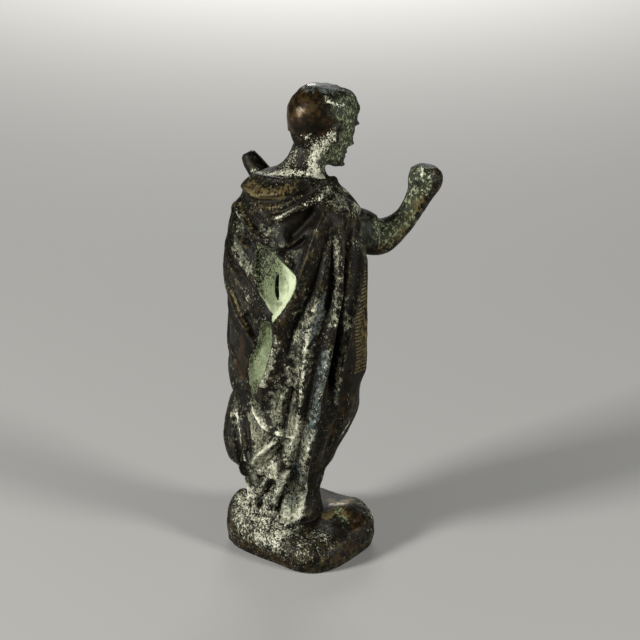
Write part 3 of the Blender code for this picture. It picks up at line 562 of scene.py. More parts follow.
def baked(piece):
    """Puts the outcome of the object's modifiers in place of its mesh."""
    whole = bpy.data.meshes.new_from_object(piece.evaluated_get(bpy.context.evaluated_depsgraph_get()))
    old = piece.data
    piece.modifiers.clear()
    piece.data = whole
    bpy.data.meshes.remove(old)


def melted(piece, step):
    """Melts the joined forms into one closed skin."""
    melt = piece.modifiers.new("Melt", "REMESH")
    melt.mode = "VOXEL"
    melt.voxel_size = step
    baked(piece)


def thinned(piece, triangles):
    """Thins the skin to about that many triangles, most where it bends most."""
    piece.data.calc_loop_triangles()
    thin = piece.modifiers.new("Thin", "DECIMATE")
    thin.ratio = min(1.0, triangles / len(piece.data.loop_triangles))
    baked(piece)


def cut_flat(piece):
    """Cuts the underside flat on the table and closes the cut."""
    form = bmesh.new()
    form.from_mesh(piece.data)
    every = form.verts[:] + form.edges[:] + form.faces[:]
    cut = bmesh.ops.bisect_plane(
        form, geom=every, dist=1e-7, plane_co=(0, 0, 0), plane_no=(0, 0, -1), clear_outer=True
    )
    edges = [item for item in cut["geom_cut"] if isinstance(item, bmesh.types.BMEdge)]
    bmesh.ops.edgeloop_fill(form, edges=edges)
    bmesh.ops.triangulate(form, faces=form.faces[:])
    bmesh.ops.recalc_face_normals(form, faces=form.faces[:])
    form.to_mesh(piece.data)
    form.free()


class Skin:
    """The vertices of a mesh as arrays, with the means of their neighbours."""

    def __init__(self, mesh, unit):
        self.mesh, self.unit = mesh, unit
        count = len(mesh.vertices)
        flat = np.empty(count * 3)
        mesh.vertices.foreach_get("co", flat)
        self.points = flat.reshape(-1, 3) / unit
        ends = np.empty(len(mesh.edges) * 2, dtype=np.int32)
        mesh.edges.foreach_get("vertices", ends)
        self.edges = ends.reshape(-1, 2)
        self.degree = np.bincount(ends, minlength=count).astype(float)
        corners = np.empty(len(mesh.loops), dtype=np.int32)
        mesh.loops.foreach_get("vertex_index", corners)
        self.triangles = corners.reshape(-1, 3)

    def mean(self, values):
        """The mean of each vertex's neighbours."""
        a, b = self.edges.T
        count = len(self.degree)
        columns = [
            np.bincount(a, values[b, k], count) + np.bincount(b, values[a, k], count)
            for k in range(values.shape[1])
        ]
        return np.stack(columns, axis=1) / self.degree[:, None]

    def spread(self, values, times):
        """Values evened out over the skin, that many times."""
        for _ in range(times):
            values = 0.5 * values + 0.5 * self.mean(values)
        return values

    def normals(self):
        """Outward directions, from the sum of the faces round each vertex."""
        a, b, c = (self.points[self.triangles[:, k]] for k in range(3))
        face = np.cross(b - a, c - a)
        total = np.stack(
            [
                sum(np.bincount(self.triangles[:, k], face[:, axis], len(self.points)) for k in range(3))
                for axis in range(3)
            ],
            axis=1,
        )
        return total / np.maximum(np.linalg.norm(total, axis=1, keepdims=True), 1e-12)

    def bend(self, times):
        """How hollow the skin is, over a reach set by times: how far its evened copy lies outside it."""
        return np.einsum("ij,ij->i", self.spread(self.points, times) - self.points, self.normals())

    def keep(self):
        """Writes the points back to the mesh, with those on the table left flat."""
        self.mesh.vertices.foreach_set("co", (self.points * self.unit).ravel())
        self.mesh.update()


# The chased band down the right side: its path, half width, stroke pitch and depth.
BAND_PATH = [(108, 61.5), (109, 56.0), (111, 49.0), (110, 42.0), (107, 36.0)]
BAND_HALF_WIDTH = 2.6
BAND_PITCH = 0.83
BAND_DEPTH = 0.2

# Stains of the patina: its kind, the places along it (x, y, height), its half width and its strength. Chosen
# one by one. The pale green lies in the first two hollows.
# Painted light among the stains: the dark ones are painted shade in recesses and creases, such as under the roll, at
# the nape, where the arm leaves the sleeve, in the stub's hollow and in the fist's lines. The ochre and blue ones are
# partly painted highlight on crests and on the crown, and the pale ones partly painted light on the lit walls of the
# pockets.
STAINS = [
    ("crust", [(12.3, 1.2, 79.0), (7.5, 4.6, 80.2), (4.4, 5.2, 80.9), (0.7, 4.6, 81.6)], 0.8, 1.3),
    ("crust", [(9.0, 5.4, 79.0), (4.6, 6.8, 79.4), (0.4, 6.6, 79.8), (-3.4, 5.6, 80.0)], 0.7, 0.9),
    ("crust", [(0.7, 4.6, 81.5), (-2.8, 3.7, 81.8), (-5.0, 1.7, 81.5), (-6.5, -0.6, 80.6)], 0.9, 1.2),
    ("crust", [(-7.5, -1.4, 89.8), (-5.4, -0.5, 87.1), (-4.3, 0.8, 84.1), (-5.1, 0.5, 81.9)], 1.6, 1.3),
    ("crust", [(-9.1, 0.5, 78.9), (-10.0, 5.5, 77.9), (-8.2, 7.5, 76.2)], 1.0, 0.7),
    ("crust", [(-4.4, 12.2, 21.6), (-2.6, 12.8, 18.5), (0.3, 14.0, 16.3)], 1.0, 1.0),
    ("crust", [(-5.8, 12.5, 13.7), (-3.2, 11.4, 7.1), (-1.1, 11.4, 1.9)], 1.5, 1.0),
    ("crust", [(2.6, 12.0, 11.0), (2.0, 10.8, 6.0), (1.6, 10.4, 2.0)], 2.4, 0.8),
    ("crust", [(-13.7, -1.9, 25.0), (-13.5, 0.0, 23.2), (-12.7, 1.1, 21.1)], 0.4, 0.9),
    ("crust", [(-9.6, 0.8, 78.6), (-8.1, 7.6, 77.1), (-3.1, 11.0, 73.7)], 0.5, 0.8),
    ("crust", [(9.6, 11.5, 24.8), (6.8, 13.3, 21.3), (4.8, 13.9, 14.5)], 0.5, 0.9),
    ("crust", [(-9.7, 9.8, 15.2), (-6.9, 6.4, 7.6), (-5.9, 6.4, 2.5), (-5.5, 7.6, 0.3)], 1.0, 0.9),
    ("crust", [(6.4, 10.1, 4.7), (8.8, 9.5, 1.0), (5.4, 11.2, -1.0), (2.1, 11.5, -1.1)], 3.4, 0.85),
    ("crust", [(9.6, 11.5, -1.1), (5.3, 13.5, -4.0), (0.2, 13.7, -5.0)], 2.4, 0.7),
    ("crust", [(-3.7, 9.9, -2.3), (-3.4, 13.1, -4.5)], 2.8, 0.95),
    ("crust", [(-10.5, 10.9, -3.3), (-12.0, 7.0, -2.0)], 3.0, 0.45),
    ("crust", [(-8.4, 11.9, 47.2), (-8.4, 11.9, 46.8)], 0.9, 1.0),
    ("grey", [(9.4, 10.6, 65.8), (5.6, 12.5, 63.5), (3.4, 13.4, 61.0)], 1.5, 0.75),
    ("grey", [(4.4, 14.0, 56.3), (2.3, 14.1, 53.3)], 1.2, 0.35),
    ("dark", [(-10.5, 6.6, 75.5), (-8.4, 9.0, 73.0), (-6.3, 10.4, 71.0)], 1.5, 0.9),
    ("grey", [(8.6, 10.7, 71.8), (8.2, 10.5, 68.4)], 1.8, 0.6),
    ("grey", [(0.8, 11.5, 70.7), (-2.1, 11.6, 69.6), (-4.4, 11.6, 68.5)], 1.6, 0.5),
    ("grey", [(-7.4, 10.6, 66.0), (-6.4, 11.4, 63.0)], 1.8, 0.7),
    ("grey", [(-9.3, -4.4, 77.5), (-12.7, 1.5, 76.3), (-12.6, -4.8, 74.5), (-13.3, -6.8, 70.9)], 2.6, 0.5),
    ("grey", [(-14.7, 4.9, 69.7), (-15.7, 5.7, 63.4), (-15.5, 6.1, 56.5), (-15.2, 6.7, 50.9)], 1.3, 0.6),
    ("grey", [(-16.0, 3.4, 57.0), (-16.0, 2.9, 49.9), (-15.7, 4.2, 44.3), (-15.5, 5.4, 37.5), (-14.8, 5.2, 31.4)],
     0.8, 0.9),
    ("grey", [(-11.8, 9.8, 54.7), (-10.7, 10.8, 48.8), (-9.6, 11.2, 42.5), (-7.9, 12.0, 37.6)], 3.2, 0.6),
    ("grey", [(-6.1, 12.4, 32.3), (-5.4, 12.4, 27.5), (-9.2, 11.5, 25.6), (-8.2, 11.2, 20.2)], 3.6, 1.0),
    ("grey", [(2.1, 13.3, 26.2), (-0.4, 13.8, 21.2), (0.3, 14.5, 16.3), (-3.1, 12.5, 14.5)], 3.6, 0.9),
    ("grey", [(-4.0, 9.0, 8.0), (-4.1, 8.5, 4.8), (-3.6, 8.7, 1.1)], 3.2, 1.2),
    ("crust", [(-2.0, 12.4, 15.0), (0.4, 12.2, 9.0), (-1.0, 11.0, 4.0)], 2.8, 0.65),
    ("grey", [(9.6, 11.5, 27.0), (8.0, 13.0, 21.1), (7.0, 13.0, 15.0)], 2.0, 0.45),
    # Blue along the crest of the big fold and on the crown: film, and partly painted highlight.
    ("blue", [(-13.0, 8.0, 57.0), (-12.0, 9.4, 51.0), (-10.6, 10.4, 46.0)], 1.6, 0.8),
    ("blue", [(-14.4, 7.8, 43.9), (-13.7, 8.7, 39.3), (-13.4, 9.3, 34.6), (-12.3, 9.7, 28.4), (-11.3, 10.3, 22.1)],
     1.2, 1.0),
    ("blue", [(-4.1, 8.9, 4.8), (-3.6, 9.2, 1.1)], 2.0, 0.7),
    ("blue", [(-2.9, -1.9, 99.6), (-5.6, -3.7, 99.3)], 1.9, 0.8),
    ("blue", [(-8.2, 11.2, 16.2), (-9.0, 9.8, 12.0)], 1.6, 0.6),
    ("warm", [(-1.3, 1.2, 97.3), (-1.8, 2.5, 94.4), (2.4, 0.0, 93.0)], 4.6, 1.0),
    ("crust", [(-0.6, 1.4, 85.0), (0.4, 2.6, 83.4)], 2.2, 0.45),
    ("warm", [(-5.5, 0.5, 94.5), (-6.6, 0.0, 92.0)], 3.0, 0.9),
    ("warm", [(7.7, 7.9, 78.4), (2.3, 9.6, 78.3), (-1.8, 9.1, 79.0), (-4.3, 7.4, 80.0)], 1.2, 0.5),
    ("ochre", [(8.0, 7.6, 78.4), (2.3, 9.8, 78.4), (-1.8, 9.4, 79.0), (-4.3, 7.6, 80.0)], 1.6, 0.52),
    ("ochre", [(3.8, 10.6, 75.0), (-2.9, 10.2, 75.4), (-0.7, 11.0, 73.8)], 1.8, 0.3),
    ("warm", [(-11.8, 6.4, 75.3), (-12.3, 8.8, 69.2), (-11.5, 10.7, 62.7), (-9.8, 12.3, 57.0), (-7.7, 13.6, 52.6)],
     1.3, 0.3),
    ("warm", [(-7.0, 13.8, 51.6), (-6.3, 14.0, 47.3), (-5.2, 14.5, 42.0), (-3.0, 15.1, 36.7), (0.2, 14.2, 30.8)],
     1.5, 0.4),
    ("grey", [(-5.6, 14.5, 47.3), (-4.2, 15.0, 41.0), (-2.0, 15.1, 35.7)], 1.2, 0.7),
    ("warm", [(-14.8, -0.4, 47.3), (-15.0, 0.5, 40.5), (-15.0, 0.8, 33.3), (-14.6, 1.7, 27.3)], 1.8, 0.4),
    ("warm", [(-13.8, 4.3, 27.2), (-12.2, 4.8, 20.6), (-9.0, 4.5, 12.8)], 2.6, 0.35),
    ("dark", [(-14.6, 3.0, 46.0), (-14.8, 3.0, 38.0), (-14.4, 3.4, 32.0)], 1.6, 0.75),
    ("warm", [(6.2, 12.8, 43.1), (6.9, 12.8, 36.1)], 2.0, 0.8),
    ("warm", [(-10.0, -4.2, 0.6), (-14.2, -4.6, -2.1), (-15.8, 1.0, -5.4)], 4.2, 0.55),
    ("warm", [(-15.6, 5.0, -7.0), (-12.0, 11.0, -8.6), (0.0, 13.6, -8.6), (12.0, 10.0, -8.0)], 1.8, 0.55),
    ("warm", [(-17.0, -10.0, 66.0), (-21.0, -13.8, 74.1)], 2.2, 0.6),
    ("green", [(-8.9, -4.7, 95.3), (-9.0, -6.3, 91.6), (-7.9, -5.9, 88.2), (-6.7, -4.0, 85.0)], 3.4, 1.0),
    ("green", [(-6.6, -8.0, 99.0), (-9.4, -8.0, 96.0)], 2.4, 0.7),
    ("green", [(-14.1, -6.4, 69.3), (-14.4, -5.9, 65.6), (-14.5, -5.0, 62.9)], 2.0, 0.9),
    ("green", [(-13.0, -7.1, 68.0), (-16.0, -9.1, 67.6), (-19.3, -12.9, 73.8), (-21.6, -14.4, 80.6)], 3.4, 1.0),
    ("crust", [(-13.0, -7.1, 67.0), (-16.0, -9.1, 66.6), (-19.3, -12.9, 73.8), (-21.6, -14.4, 80.6)], 2.6, 0.2),
    ("green", [(-10.0, -2.2, 1.0), (-15.4, 1.0, -2.4)], 2.0, 0.6),
    ("green", [(13.7, 0.9, 81.1), (15.1, 0.7, 82.0)], 2.0, 0.6),
    ("dark", [(-13.5, -6.5, 70.6), (-14.6, -6.3, 67.9), (-14.3, -7.1, 64.1), (-14.3, -6.0, 62.1)], 1.5, 0.9),
    ("dark", [(-1.5, 2.5, 91.1), (-3.6, 2.2, 92.0), (-5.5, 1.2, 92.4), (-6.5, 0.1, 91.9)], 1.1, 0.9),
    ("dark", [(14.3, 0.9, 81.0), (13.4, 0.7, 80.9)], 0.9, 1.0),
    ("dark", [(-21.6, -14.0, 79.3), (-21.8, -14.0, 79.0)], 0.5, 1.0),
    ("dark", [(-14.9, -2.9, 61.5), (-14.5, -3.6, 49.0), (-14.8, -2.8, 36.0)], 2.4, 0.75),
    ("dark", [(4.2, 13.0, 45.6), (4.0, 13.0, 42.0)], 1.3, 0.8),
    ("crust", [(-5.9, -1.6, 98.2), (-6.7, -1.7, 97.4), (-7.4, -2.4, 97.0), (-7.9, -2.9, 96.5),
      (-8.6, -4.7, 96.3)], 0.35, 1.0),
    ("crust", [(-2.3, 2.4, 90.3), (-3.3, 1.6, 89.6), (-4.6, 1.5, 90.5)], 0.45, 1.0),
    ("crust", [(-21.5, -15.8, 82.2), (-22.2, -14.8, 81.5), (-22.5, -14.5, 80.7)], 0.4, 1.0),
    ("crust", [(-23.9, -16.9, 81.5), (-23.9, -15.5, 80.7)], 0.35, 0.9),
    ("crust", [(13.0, 1.6, 79.4), (12.0, 1.6, 78.6)], 0.6, 0.9),
    ("crust", [(-11.8, 10.8, 50.0), (-11.0, 11.6, 42.0), (-10.0, 11.8, 30.8), (-7.2, 13.5, 17.5)], 0.5, 0.55),
    ("crust", [(-15.0, 7.9, 45.3), (-13.6, 9.8, 32.4), (-10.9, 10.6, 19.3), (-8.0, 7.5, 9.1)], 0.5, 0.4),
    ("crust", [(2.5, 13.8, 27.8), (0.3, 14.2, 26.1), (-1.5, 14.3, 24.7)], 0.6, 1.0),
    ("crust", [(-5.0, 13.5, 24.3), (-3.1, 14.2, 21.2), (-1.5, 15.1, 19.0)], 0.9, 0.8),
    ("ochre", [(-8.3, 0.7, -0.9), (-9.2, -2.5, 0.2), (-8.4, -8.1, -0.2)], 1.4, 0.9),
    # The front and the left side, which the photo doesn't show.
    ("grey", [(6.0, -11.5, 60.0), (2.0, -12.0, 52.0), (-3.0, -11.8, 46.0)], 3.2, 0.6),
    ("grey", [(4.0, -11.2, 30.0), (3.6, -9.6, 18.0), (3.4, -6.4, 8.0)], 2.8, 0.7),
    ("grey", [(15.5, -2.0, 60.0), (16.0, 0.0, 45.0), (14.5, 1.0, 30.0)], 2.6, 0.6),
    ("green", [(-4.0, -9.0, 72.0), (2.0, -8.5, 74.0)], 3.4, 0.8),
    ("green", [(-9.0, -9.5, 40.0), (-9.5, -9.0, 28.0)], 3.0, 0.7),
    ("warm", [(8.0, -10.5, 66.0), (11.5, -7.5, 58.0), (12.0, -6.8, 46.0)], 2.6, 0.6),
    ("warm", [(-2.0, -11.4, 36.0), (-2.4, -9.6, 22.0)], 2.4, 0.6),
    ("crust", [(8.5, -9.0, 36.0), (8.0, -7.4, 20.0), (6.8, -5.0, 8.0)], 1.6, 0.6),
    ("crust", [(-12.0, -10.0, -2.0), (0.0, -12.5, -3.0), (11.0, -10.0, -3.0)], 3.4, 0.5),
    ("green", [(4.0, -11.0, -1.0), (12.0, -9.0, -2.0), (14.0, -2.0, -3.0)], 3.2, 0.9),
    # Pale stains on the pocket walls: thicker patina, and partly painted light on the lit walls.
    ("pale", [(-8.0, 10.5, 62.2), (-7.6, 10.6, 59.5), (-6.2, 11.4, 56.4), (-4.6, 12.2, 53.0)], 4.4, 1.0),
    ("pale", [(-2.6, 13.2, 49.0), (-2.0, 13.2, 45.5)], 2.4, 0.6),
    ("pale", [(-1.0, 12.6, 42.5), (0.6, 12.8, 38.5), (2.4, 12.9, 35.0)], 2.4, 0.62),
    # Ochre stains along the edges of the roll, the folds and the rock: rubbed wear, and partly painted highlight on
    # those edges.
    ("ochre", [(7.9, 8.6, 77.6), (5.0, 9.9, 77.2), (2.6, 10.0, 76.8), (-0.5, 9.6, 77.3), (-3.0, 8.6, 78.1)], 0.45, 1.0),
    ("ochre", [(10.3, 8.4, 73.6), (6.7, 10.5, 72.0), (3.1, 12.1, 70.4)], 0.5, 0.6),
    ("ochre", [(10.3, 11.3, 54.0), (6.5, 12.8, 50.2), (3.6, 13.5, 46.8)], 0.6, 0.55),
    ("ochre", [(-4.9, -4.9, -0.1), (-11.7, -2.1, -0.6)], 1.2, 0.7),
    ("ochre", [(-10.5, 4.9, 13.0), (-8.4, 4.9, 9.0)], 1.0, 0.6),
    ("ochre", [(-15.5, -9.4, 65.4), (-19.5, -12.6, 70.0), (-22.5, -15.0, 78.0)], 1.9, 0.75),
]
MASKS = ("crust", "grey", "blue", "warm", "green", "ochre", "pale", "dark")
PALE_EDGE = 0.5


def stain_masks(points, ground):
    """How strong each stain is at each point: a bell across the path of each, the strongest of each kind. The
    pale green fills the first two hollows up to their edges."""
    masks = {name: np.zeros(len(points)) for name in MASKS}
    for name, places, half_width, strength in STAINS:
        path = np.asarray(places, float) + np.array([0, 0, ground])
        reach = 2.2 * half_width
        inside = np.all((points > path.min(axis=0) - reach) & (points < path.max(axis=0) + reach), axis=1)
        chosen = np.flatnonzero(inside)
        gap = path_distance(points[chosen], path)[0]
        masks[name][chosen] = np.maximum(masks[name][chosen], strength * np.exp(-((gap / half_width) ** 2)))
    x, y, wide, deep = smooth_curve(BODY_SECTIONS, points[:, 2] - ground).T
    out = np.stack([(points[:, 0] - x) / wide**2, (points[:, 1] - y) / deep**2, np.zeros(len(points))], axis=1)
    upper, lower, slit = (inside_outline(points, out, places, ground) for places, _, _ in HOLLOWS)
    pockets = ease(np.maximum(upper, lower) / PALE_EDGE) * (1 - ease(slit / 0.3 + 0.6))
    # Weaker away from the pale stains: the pale green is thicker patina, and partly painted light on the lit walls of
    # the pockets.
    masks["pale"] = pockets * (0.34 + 0.66 * masks["pale"])
    return masks


def chased_band(points, ground):
    """Cross strokes of a punch down the band, from -1 between two strokes to 1 on each: a wave along the
    band's path, faded at its edges and ends."""
    path = drawn_path(BAND_PATH, ground)
    chosen = np.flatnonzero(np.linalg.norm(points - path.mean(axis=0), axis=1) < 22)
    gap, _, _, share = path_distance(points[chosen], path)
    length = np.linalg.norm(np.diff(path, axis=0), axis=1).sum()
    wave = np.cos(2 * math.pi * share * length / BAND_PITCH)
    fade = ease((BAND_HALF_WIDTH - gap) / 0.5) * ease(share / 0.04) * ease((1 - share) / 0.04)
    strokes = np.zeros(len(points))
    strokes[chosen] = wave * fade
    return strokes


def finer_band(piece, unit, ground):
    """Cuts the triangles of the band into smaller ones, so that its strokes can be shaped."""
    form = bmesh.new()
    form.from_mesh(piece.data)
    points = np.array([vertex.co[:] for vertex in form.verts]) / unit
    near = path_distance(points, drawn_path(BAND_PATH, ground))[0] < BAND_HALF_WIDTH + 0.2
    edges = [edge for edge in form.edges if near[edge.verts[0].index] and near[edge.verts[1].index]]
    bmesh.ops.subdivide_edges(form, edges=edges, cuts=BAND_CUTS, use_grid_fill=True)
    bmesh.ops.triangulate(form, faces=form.faces[:])
    form.to_mesh(piece.data)
    form.free()


def weathered(skin, masks, ground, relief):
    """Moves the skin by the marks of casting and burial: soft lumps, pits that are deeper where the crust is,
    and the chased band. Points on the table stay where they are."""
    normals = skin.normals()
    lumps = 0.08 * grain(skin.points, 3.1, 11) + 0.06 * grain(skin.points, 1.5, 12)
    rough = 0.35 + np.maximum(masks["crust"], 0.7 * masks["green"])
    pits = -0.16 * ease((grain(skin.points, 0.85, 13) - 0.25) / 0.6) + 0.05 * grain(skin.points, 0.6, 14)
    lift = relief * (lumps + rough * pits) + BAND_DEPTH * chased_band(skin.points, ground)
    rock = ease((ground + 0.5 - skin.points[:, 2]) / 2.5)
    lift += relief * rock * (0.34 * facets(skin.points, 4.2, 15) + 0.1 * grain(skin.points, 1.1, 16))
    free = ease(skin.points[:, 2] / 0.4)
    skin.points = skin.points + normals * (lift * free)[:, None]


def add_attribute(mesh, name, values):
    """A number from 0 to 1 at each vertex, for the material."""
    layer = mesh.attributes.new(name, "FLOAT", "POINT")
    layer.data.foreach_set("value", np.clip(values, 0, 1).astype(np.float32))


def linear(code):
    """An sRGB colour written as #rrggbb, as linear red, green and blue."""
    parts = [int(code[i : i + 2], 16) / 255 for i in (1, 3, 5)]
    return tuple(p / 12.92 if p <= 0.04045 else ((p + 0.055) / 1.055) ** 2.4 for p in parts)


def add_node(tree, kind, settings=None, links=None):
    """Adds a node. The settings are its own, and the links go to its sockets: a value or another's output."""
    item = tree.nodes.new(kind)
    for name, value in (settings or {}).items():
        setattr(item, name, value)
    for socket, value in (links or {}).items():
        if isinstance(value, bpy.types.NodeSocket):
            tree.links.new(value, item.inputs[socket])
        else:
            item.inputs[socket].default_value = value
    return item


def per_metre(millimetres):
    """The scale of a noise texture whose lumps are that many millimetres across."""
    return 1000 / millimetres


def patinated_bronze(colours):
    """Cast bronze that has lain in the ground: a dark brown oxide that shines softly where it is rubbed, grey,
    blue and green films in patches, and a pale crust that is left as fine specks and lies in the hollows. Shade is
    painted into its creases and recesses, and highlight along its crests."""
    material = bpy.data.materials.new("patinated cast bronze")
    material.use_nodes = True
    tree = material.node_tree
    shader = tree.nodes["Principled BSDF"]
    place = add_node(tree, "ShaderNodeTexCoord").outputs["Object"]
    # The specks run a little down the folds, so their grain is stretched upwards.
    drawn = add_node(tree, "ShaderNodeMapping", links={"Vector": place, "Scale": (1.0, 1.0, 0.6)}).outputs[0]

    def noise(size, detail=2.0, roughness=0.5, distortion=0.0, where=place):
        links = {
            "Vector": where,
            "Scale": per_metre(size),
            "Detail": detail,
            "Roughness": roughness,
            "Distortion": distortion,
        }
        return add_node(tree, "ShaderNodeTexNoise", links=links).outputs["Fac"]

    def mask(name):
        return add_node(tree, "ShaderNodeAttribute", {"attribute_name": name}).outputs["Fac"]

    def sums(kind, a, b, c=0.0):
        return add_node(tree, "ShaderNodeMath", {"operation": kind}, {0: a, 1: b, 2: c}).outputs[0]

    def rise(value, low, high, top=1.0):
        links = {"Value": value, "From Min": low, "From Max": high, "To Min": 0.0, "To Max": top}
        settings = {"interpolation_type": "SMOOTHSTEP"}
        return add_node(tree, "ShaderNodeMapRange", settings, links).outputs[0]

    def over(below, colour, amount):
        settings = {"data_type": "RGBA"}
        return add_node(tree, "ShaderNodeMix", settings, {0: amount, 6: below, 7: colour}).outputs[2]

    def blend(below, value, amount):
        links = {0: amount, 2: below, 3: value}
        return add_node(tree, "ShaderNodeMix", {"data_type": "FLOAT"}, links).outputs[0]

    def patch(name, grains, low=0.30, high=0.62):
        """The mask of that name with an edge that the grains break up, and none where the mask is empty."""
        value = mask(name)
        ragged = sums("ADD", value, sums("MULTIPLY_ADD", grains, 2.2, -1.1))
        return sums("MULTIPLY", rise(ragged, low, high), rise(value, 0.02, 0.25))

    # The sizes of the patches, in millimetres: cloudy films, blotches, and the specks of the crust.
    cloud = noise(4.5, 3.0, 0.6)
    blotch = noise(1.5, 4.0, 0.65)
    crumb = noise(0.6, 3.0, 0.65, 0.4, drawn)
    speck = noise(0.3, 2.0, 0.6, 0.3, drawn)
    fine = noise(0.22, 1.0, 0.6)
    soot = noise(0.9, 3.0, 0.7)

    hollow, ridge = mask("hollow"), mask("ridge")
    colour = over((*colours.oxide, 1), (*colours.brown, 1), rise(blotch, 0.44, 0.64, 0.9))
    warm = patch("warm", cloud)
    glow = over((*colours.brown, 1), (*colours.warm_brown, 1), rise(blotch, 0.38, 0.6))
    colour = over(colour, glow, sums("MULTIPLY", warm, 0.85))
    # Rubbed colour on the ochre stains and along the ridges: wear on the edges, and painted highlight on the crests of
    # the folds.
    ochre = patch("ochre", crumb)
    worn = sums("MAXIMUM", ochre, sums("MULTIPLY", ridge, rise(blotch, 0.46, 0.66, 0.45)))
    colour = over(colour, (*colours.rubbed, 1), sums("MULTIPLY", worn, 0.7))
    green = patch("green", cloud)
    leaf = over((*colours.dark_green, 1), (*colours.light_green, 1), rise(crumb, 0.5, 0.62))
    colour = over(colour, leaf, sums("MULTIPLY", green, rise(blotch, 0.32, 0.5, 0.9)))
    grey = patch("grey", blotch, 0.24, 0.7)
    colour = over(colour, (*colours.grey, 1), sums("MULTIPLY", grey, rise(crumb, 0.36, 0.56, 0.75)))
    # The blue film: a thin film, and partly a painted highlight on the lit crest of the big fold and on the crown.
    film = sums("MULTIPLY", patch("blue", blotch), rise(soot, 0.4, 0.6, 0.6))
    colour = over(colour, (*colours.grey_blue, 1), film)
    # Painted shade: the oxide colour laid into the creases, more where the skin is hollower, and over the dark stains.
    colour = over(colour, (*colours.oxide, 1), sums("MAXIMUM", rise(hollow, 0.2, 0.8, 0.88), mask("dark")))
    # The punch left its strokes standing bright on the dark band.
    colour = over(colour, (*colours.rubbed, 1), sums("MULTIPLY", mask("stroke"), rise(blotch, 0.3, 0.5, 0.8)))

    # The crust is left where the grain of the specks is above a level that falls with how much of it there is.
    crust = mask("crust")
    much = sums("MULTIPLY_ADD", crust, 0.15, 0.41)
    much = sums("MULTIPLY_ADD", grey, 0.085, much)
    much = sums("MULTIPLY_ADD", warm, -0.07, much)
    # Fewer specks on the dark stains and in the hollows, painted shade there, and more along ridges in the grey
    # patches, a painted highlight.
    much = sums("MULTIPLY_ADD", mask("dark"), -0.3, much)
    much = sums("MULTIPLY_ADD", sums("SUBTRACT", cloud, 0.5), 0.25, much)
    much = sums("MULTIPLY_ADD", sums("MULTIPLY", ridge, grey), 0.1, much)
    much = sums("MULTIPLY_ADD", hollow, -0.08, much)
    grains = sums("MULTIPLY_ADD", speck, 0.4, sums("MULTIPLY", crumb, 0.35))
    grains = sums("MULTIPLY_ADD", fine, 0.25, grains)
    crumbs = rise(sums("ADD", grains, much), 0.97, 1.08)
    # The specks are paler where the crust is heavy and on ridges, a painted highlight there, and elsewhere darker or
    # paler at random.
    bright = sums("MULTIPLY_ADD", crust, 0.2, sums("MULTIPLY_ADD", ridge, 0.08, soot))
    tone = over((*colours.crust_shade, 1), (*colours.crust, 1), rise(bright, 0.5, 0.8))
    colour = over(colour, tone, sums("MULTIPLY", crumbs, 0.82))
    pale = mask("pale")
    # Paler where the pale mask is strong: thicker patina, and partly painted light on the lit walls of the pockets.
    bright = sums("MULTIPLY_ADD", pale, 0.7, sums("MULTIPLY", blotch, 0.5))
    pocket = over((*colours.pocket_green, 1), (*colours.pale_green, 1), rise(bright, 0.62, 0.95))
    powder = sums("MULTIPLY_ADD", pale, 0.5, grains)
    powder = sums("MULTIPLY", rise(pale, 0.0, 0.35), rise(powder, 0.62, 0.80))
    # Less powder in the deepest creases: painted shade there.
    powder = sums("MULTIPLY", powder, sums("SUBTRACT", 1.0, rise(hollow, 0.6, 1.0, 0.5)))
    colour = over(colour, pocket, powder)

    dull = sums("MAXIMUM", crumbs, powder)
    roughness = blend(blend(0.55, 0.3, warm), 0.66, sums("MAXIMUM", sums("MAXIMUM", film, grey), green))
    roughness = blend(roughness, 0.88, dull)
    metallic = blend(0.45, 0.0, sums("MAXIMUM", dull, sums("MAXIMUM", film, green)))
    height = sums("ADD", sums("MULTIPLY", fine, 0.5), sums("MULTIPLY", speck, 0.8))
    height = sums("MULTIPLY", height, blend(1.0, 0.35, warm))
    height = sums("ADD", height, sums("MULTIPLY", crumbs, 0.5))
    bump = add_node(tree, "ShaderNodeBump", links={"Strength": 0.6, "Distance": 0.0001, "Height": height})

    shader.inputs["Specular IOR Level"].default_value = 0.16
    tree.links.new(colour, shader.inputs["Base Color"])
    tree.links.new(roughness, shader.inputs["Roughness"])
    tree.links.new(metallic, shader.inputs["Metallic"])
    tree.links.new(bump.outputs["Normal"], shader.inputs["Normal"])
    return material


def plain_paper(colour):
    """Matt studio paper, pulp pressed smooth: one even tone."""
    material = bpy.data.materials.new("matt studio paper")
    material.use_nodes = True
    tree = material.node_tree
    shader = tree.nodes["Principled BSDF"]
    place = add_node(tree, "ShaderNodeTexCoord").outputs["Object"]
    links = {"Vector": place, "Scale": per_metre(1.2), "Detail": 3.0, "Roughness": 0.6}
    tooth = add_node(tree, "ShaderNodeTexNoise", links=links).outputs["Fac"]
    bump = add_node(tree, "ShaderNodeBump", links={"Strength": 0.15, "Distance": 0.0001, "Height": tooth})
    shader.inputs["Base Color"].default_value = (*colour, 1)
    shader.inputs["Roughness"].default_value = 0.9
    tree.links.new(bump.outputs["Normal"], shader.inputs["Normal"])
    return material


def size_property(name, description, default, low):
    """A length that the user can change."""
    return bpy.props.FloatProperty(
        name=name, description=description, default=default, min=low, unit="LENGTH", subtype="DISTANCE", precision=5
    )


def colour_property(name, description, code):
    """A colour that the user can change, from its sRGB code."""
    return bpy.props.FloatVectorProperty(
        name=name, description=description, default=linear(code), min=0, max=1, size=3, subtype="COLOR"
    )


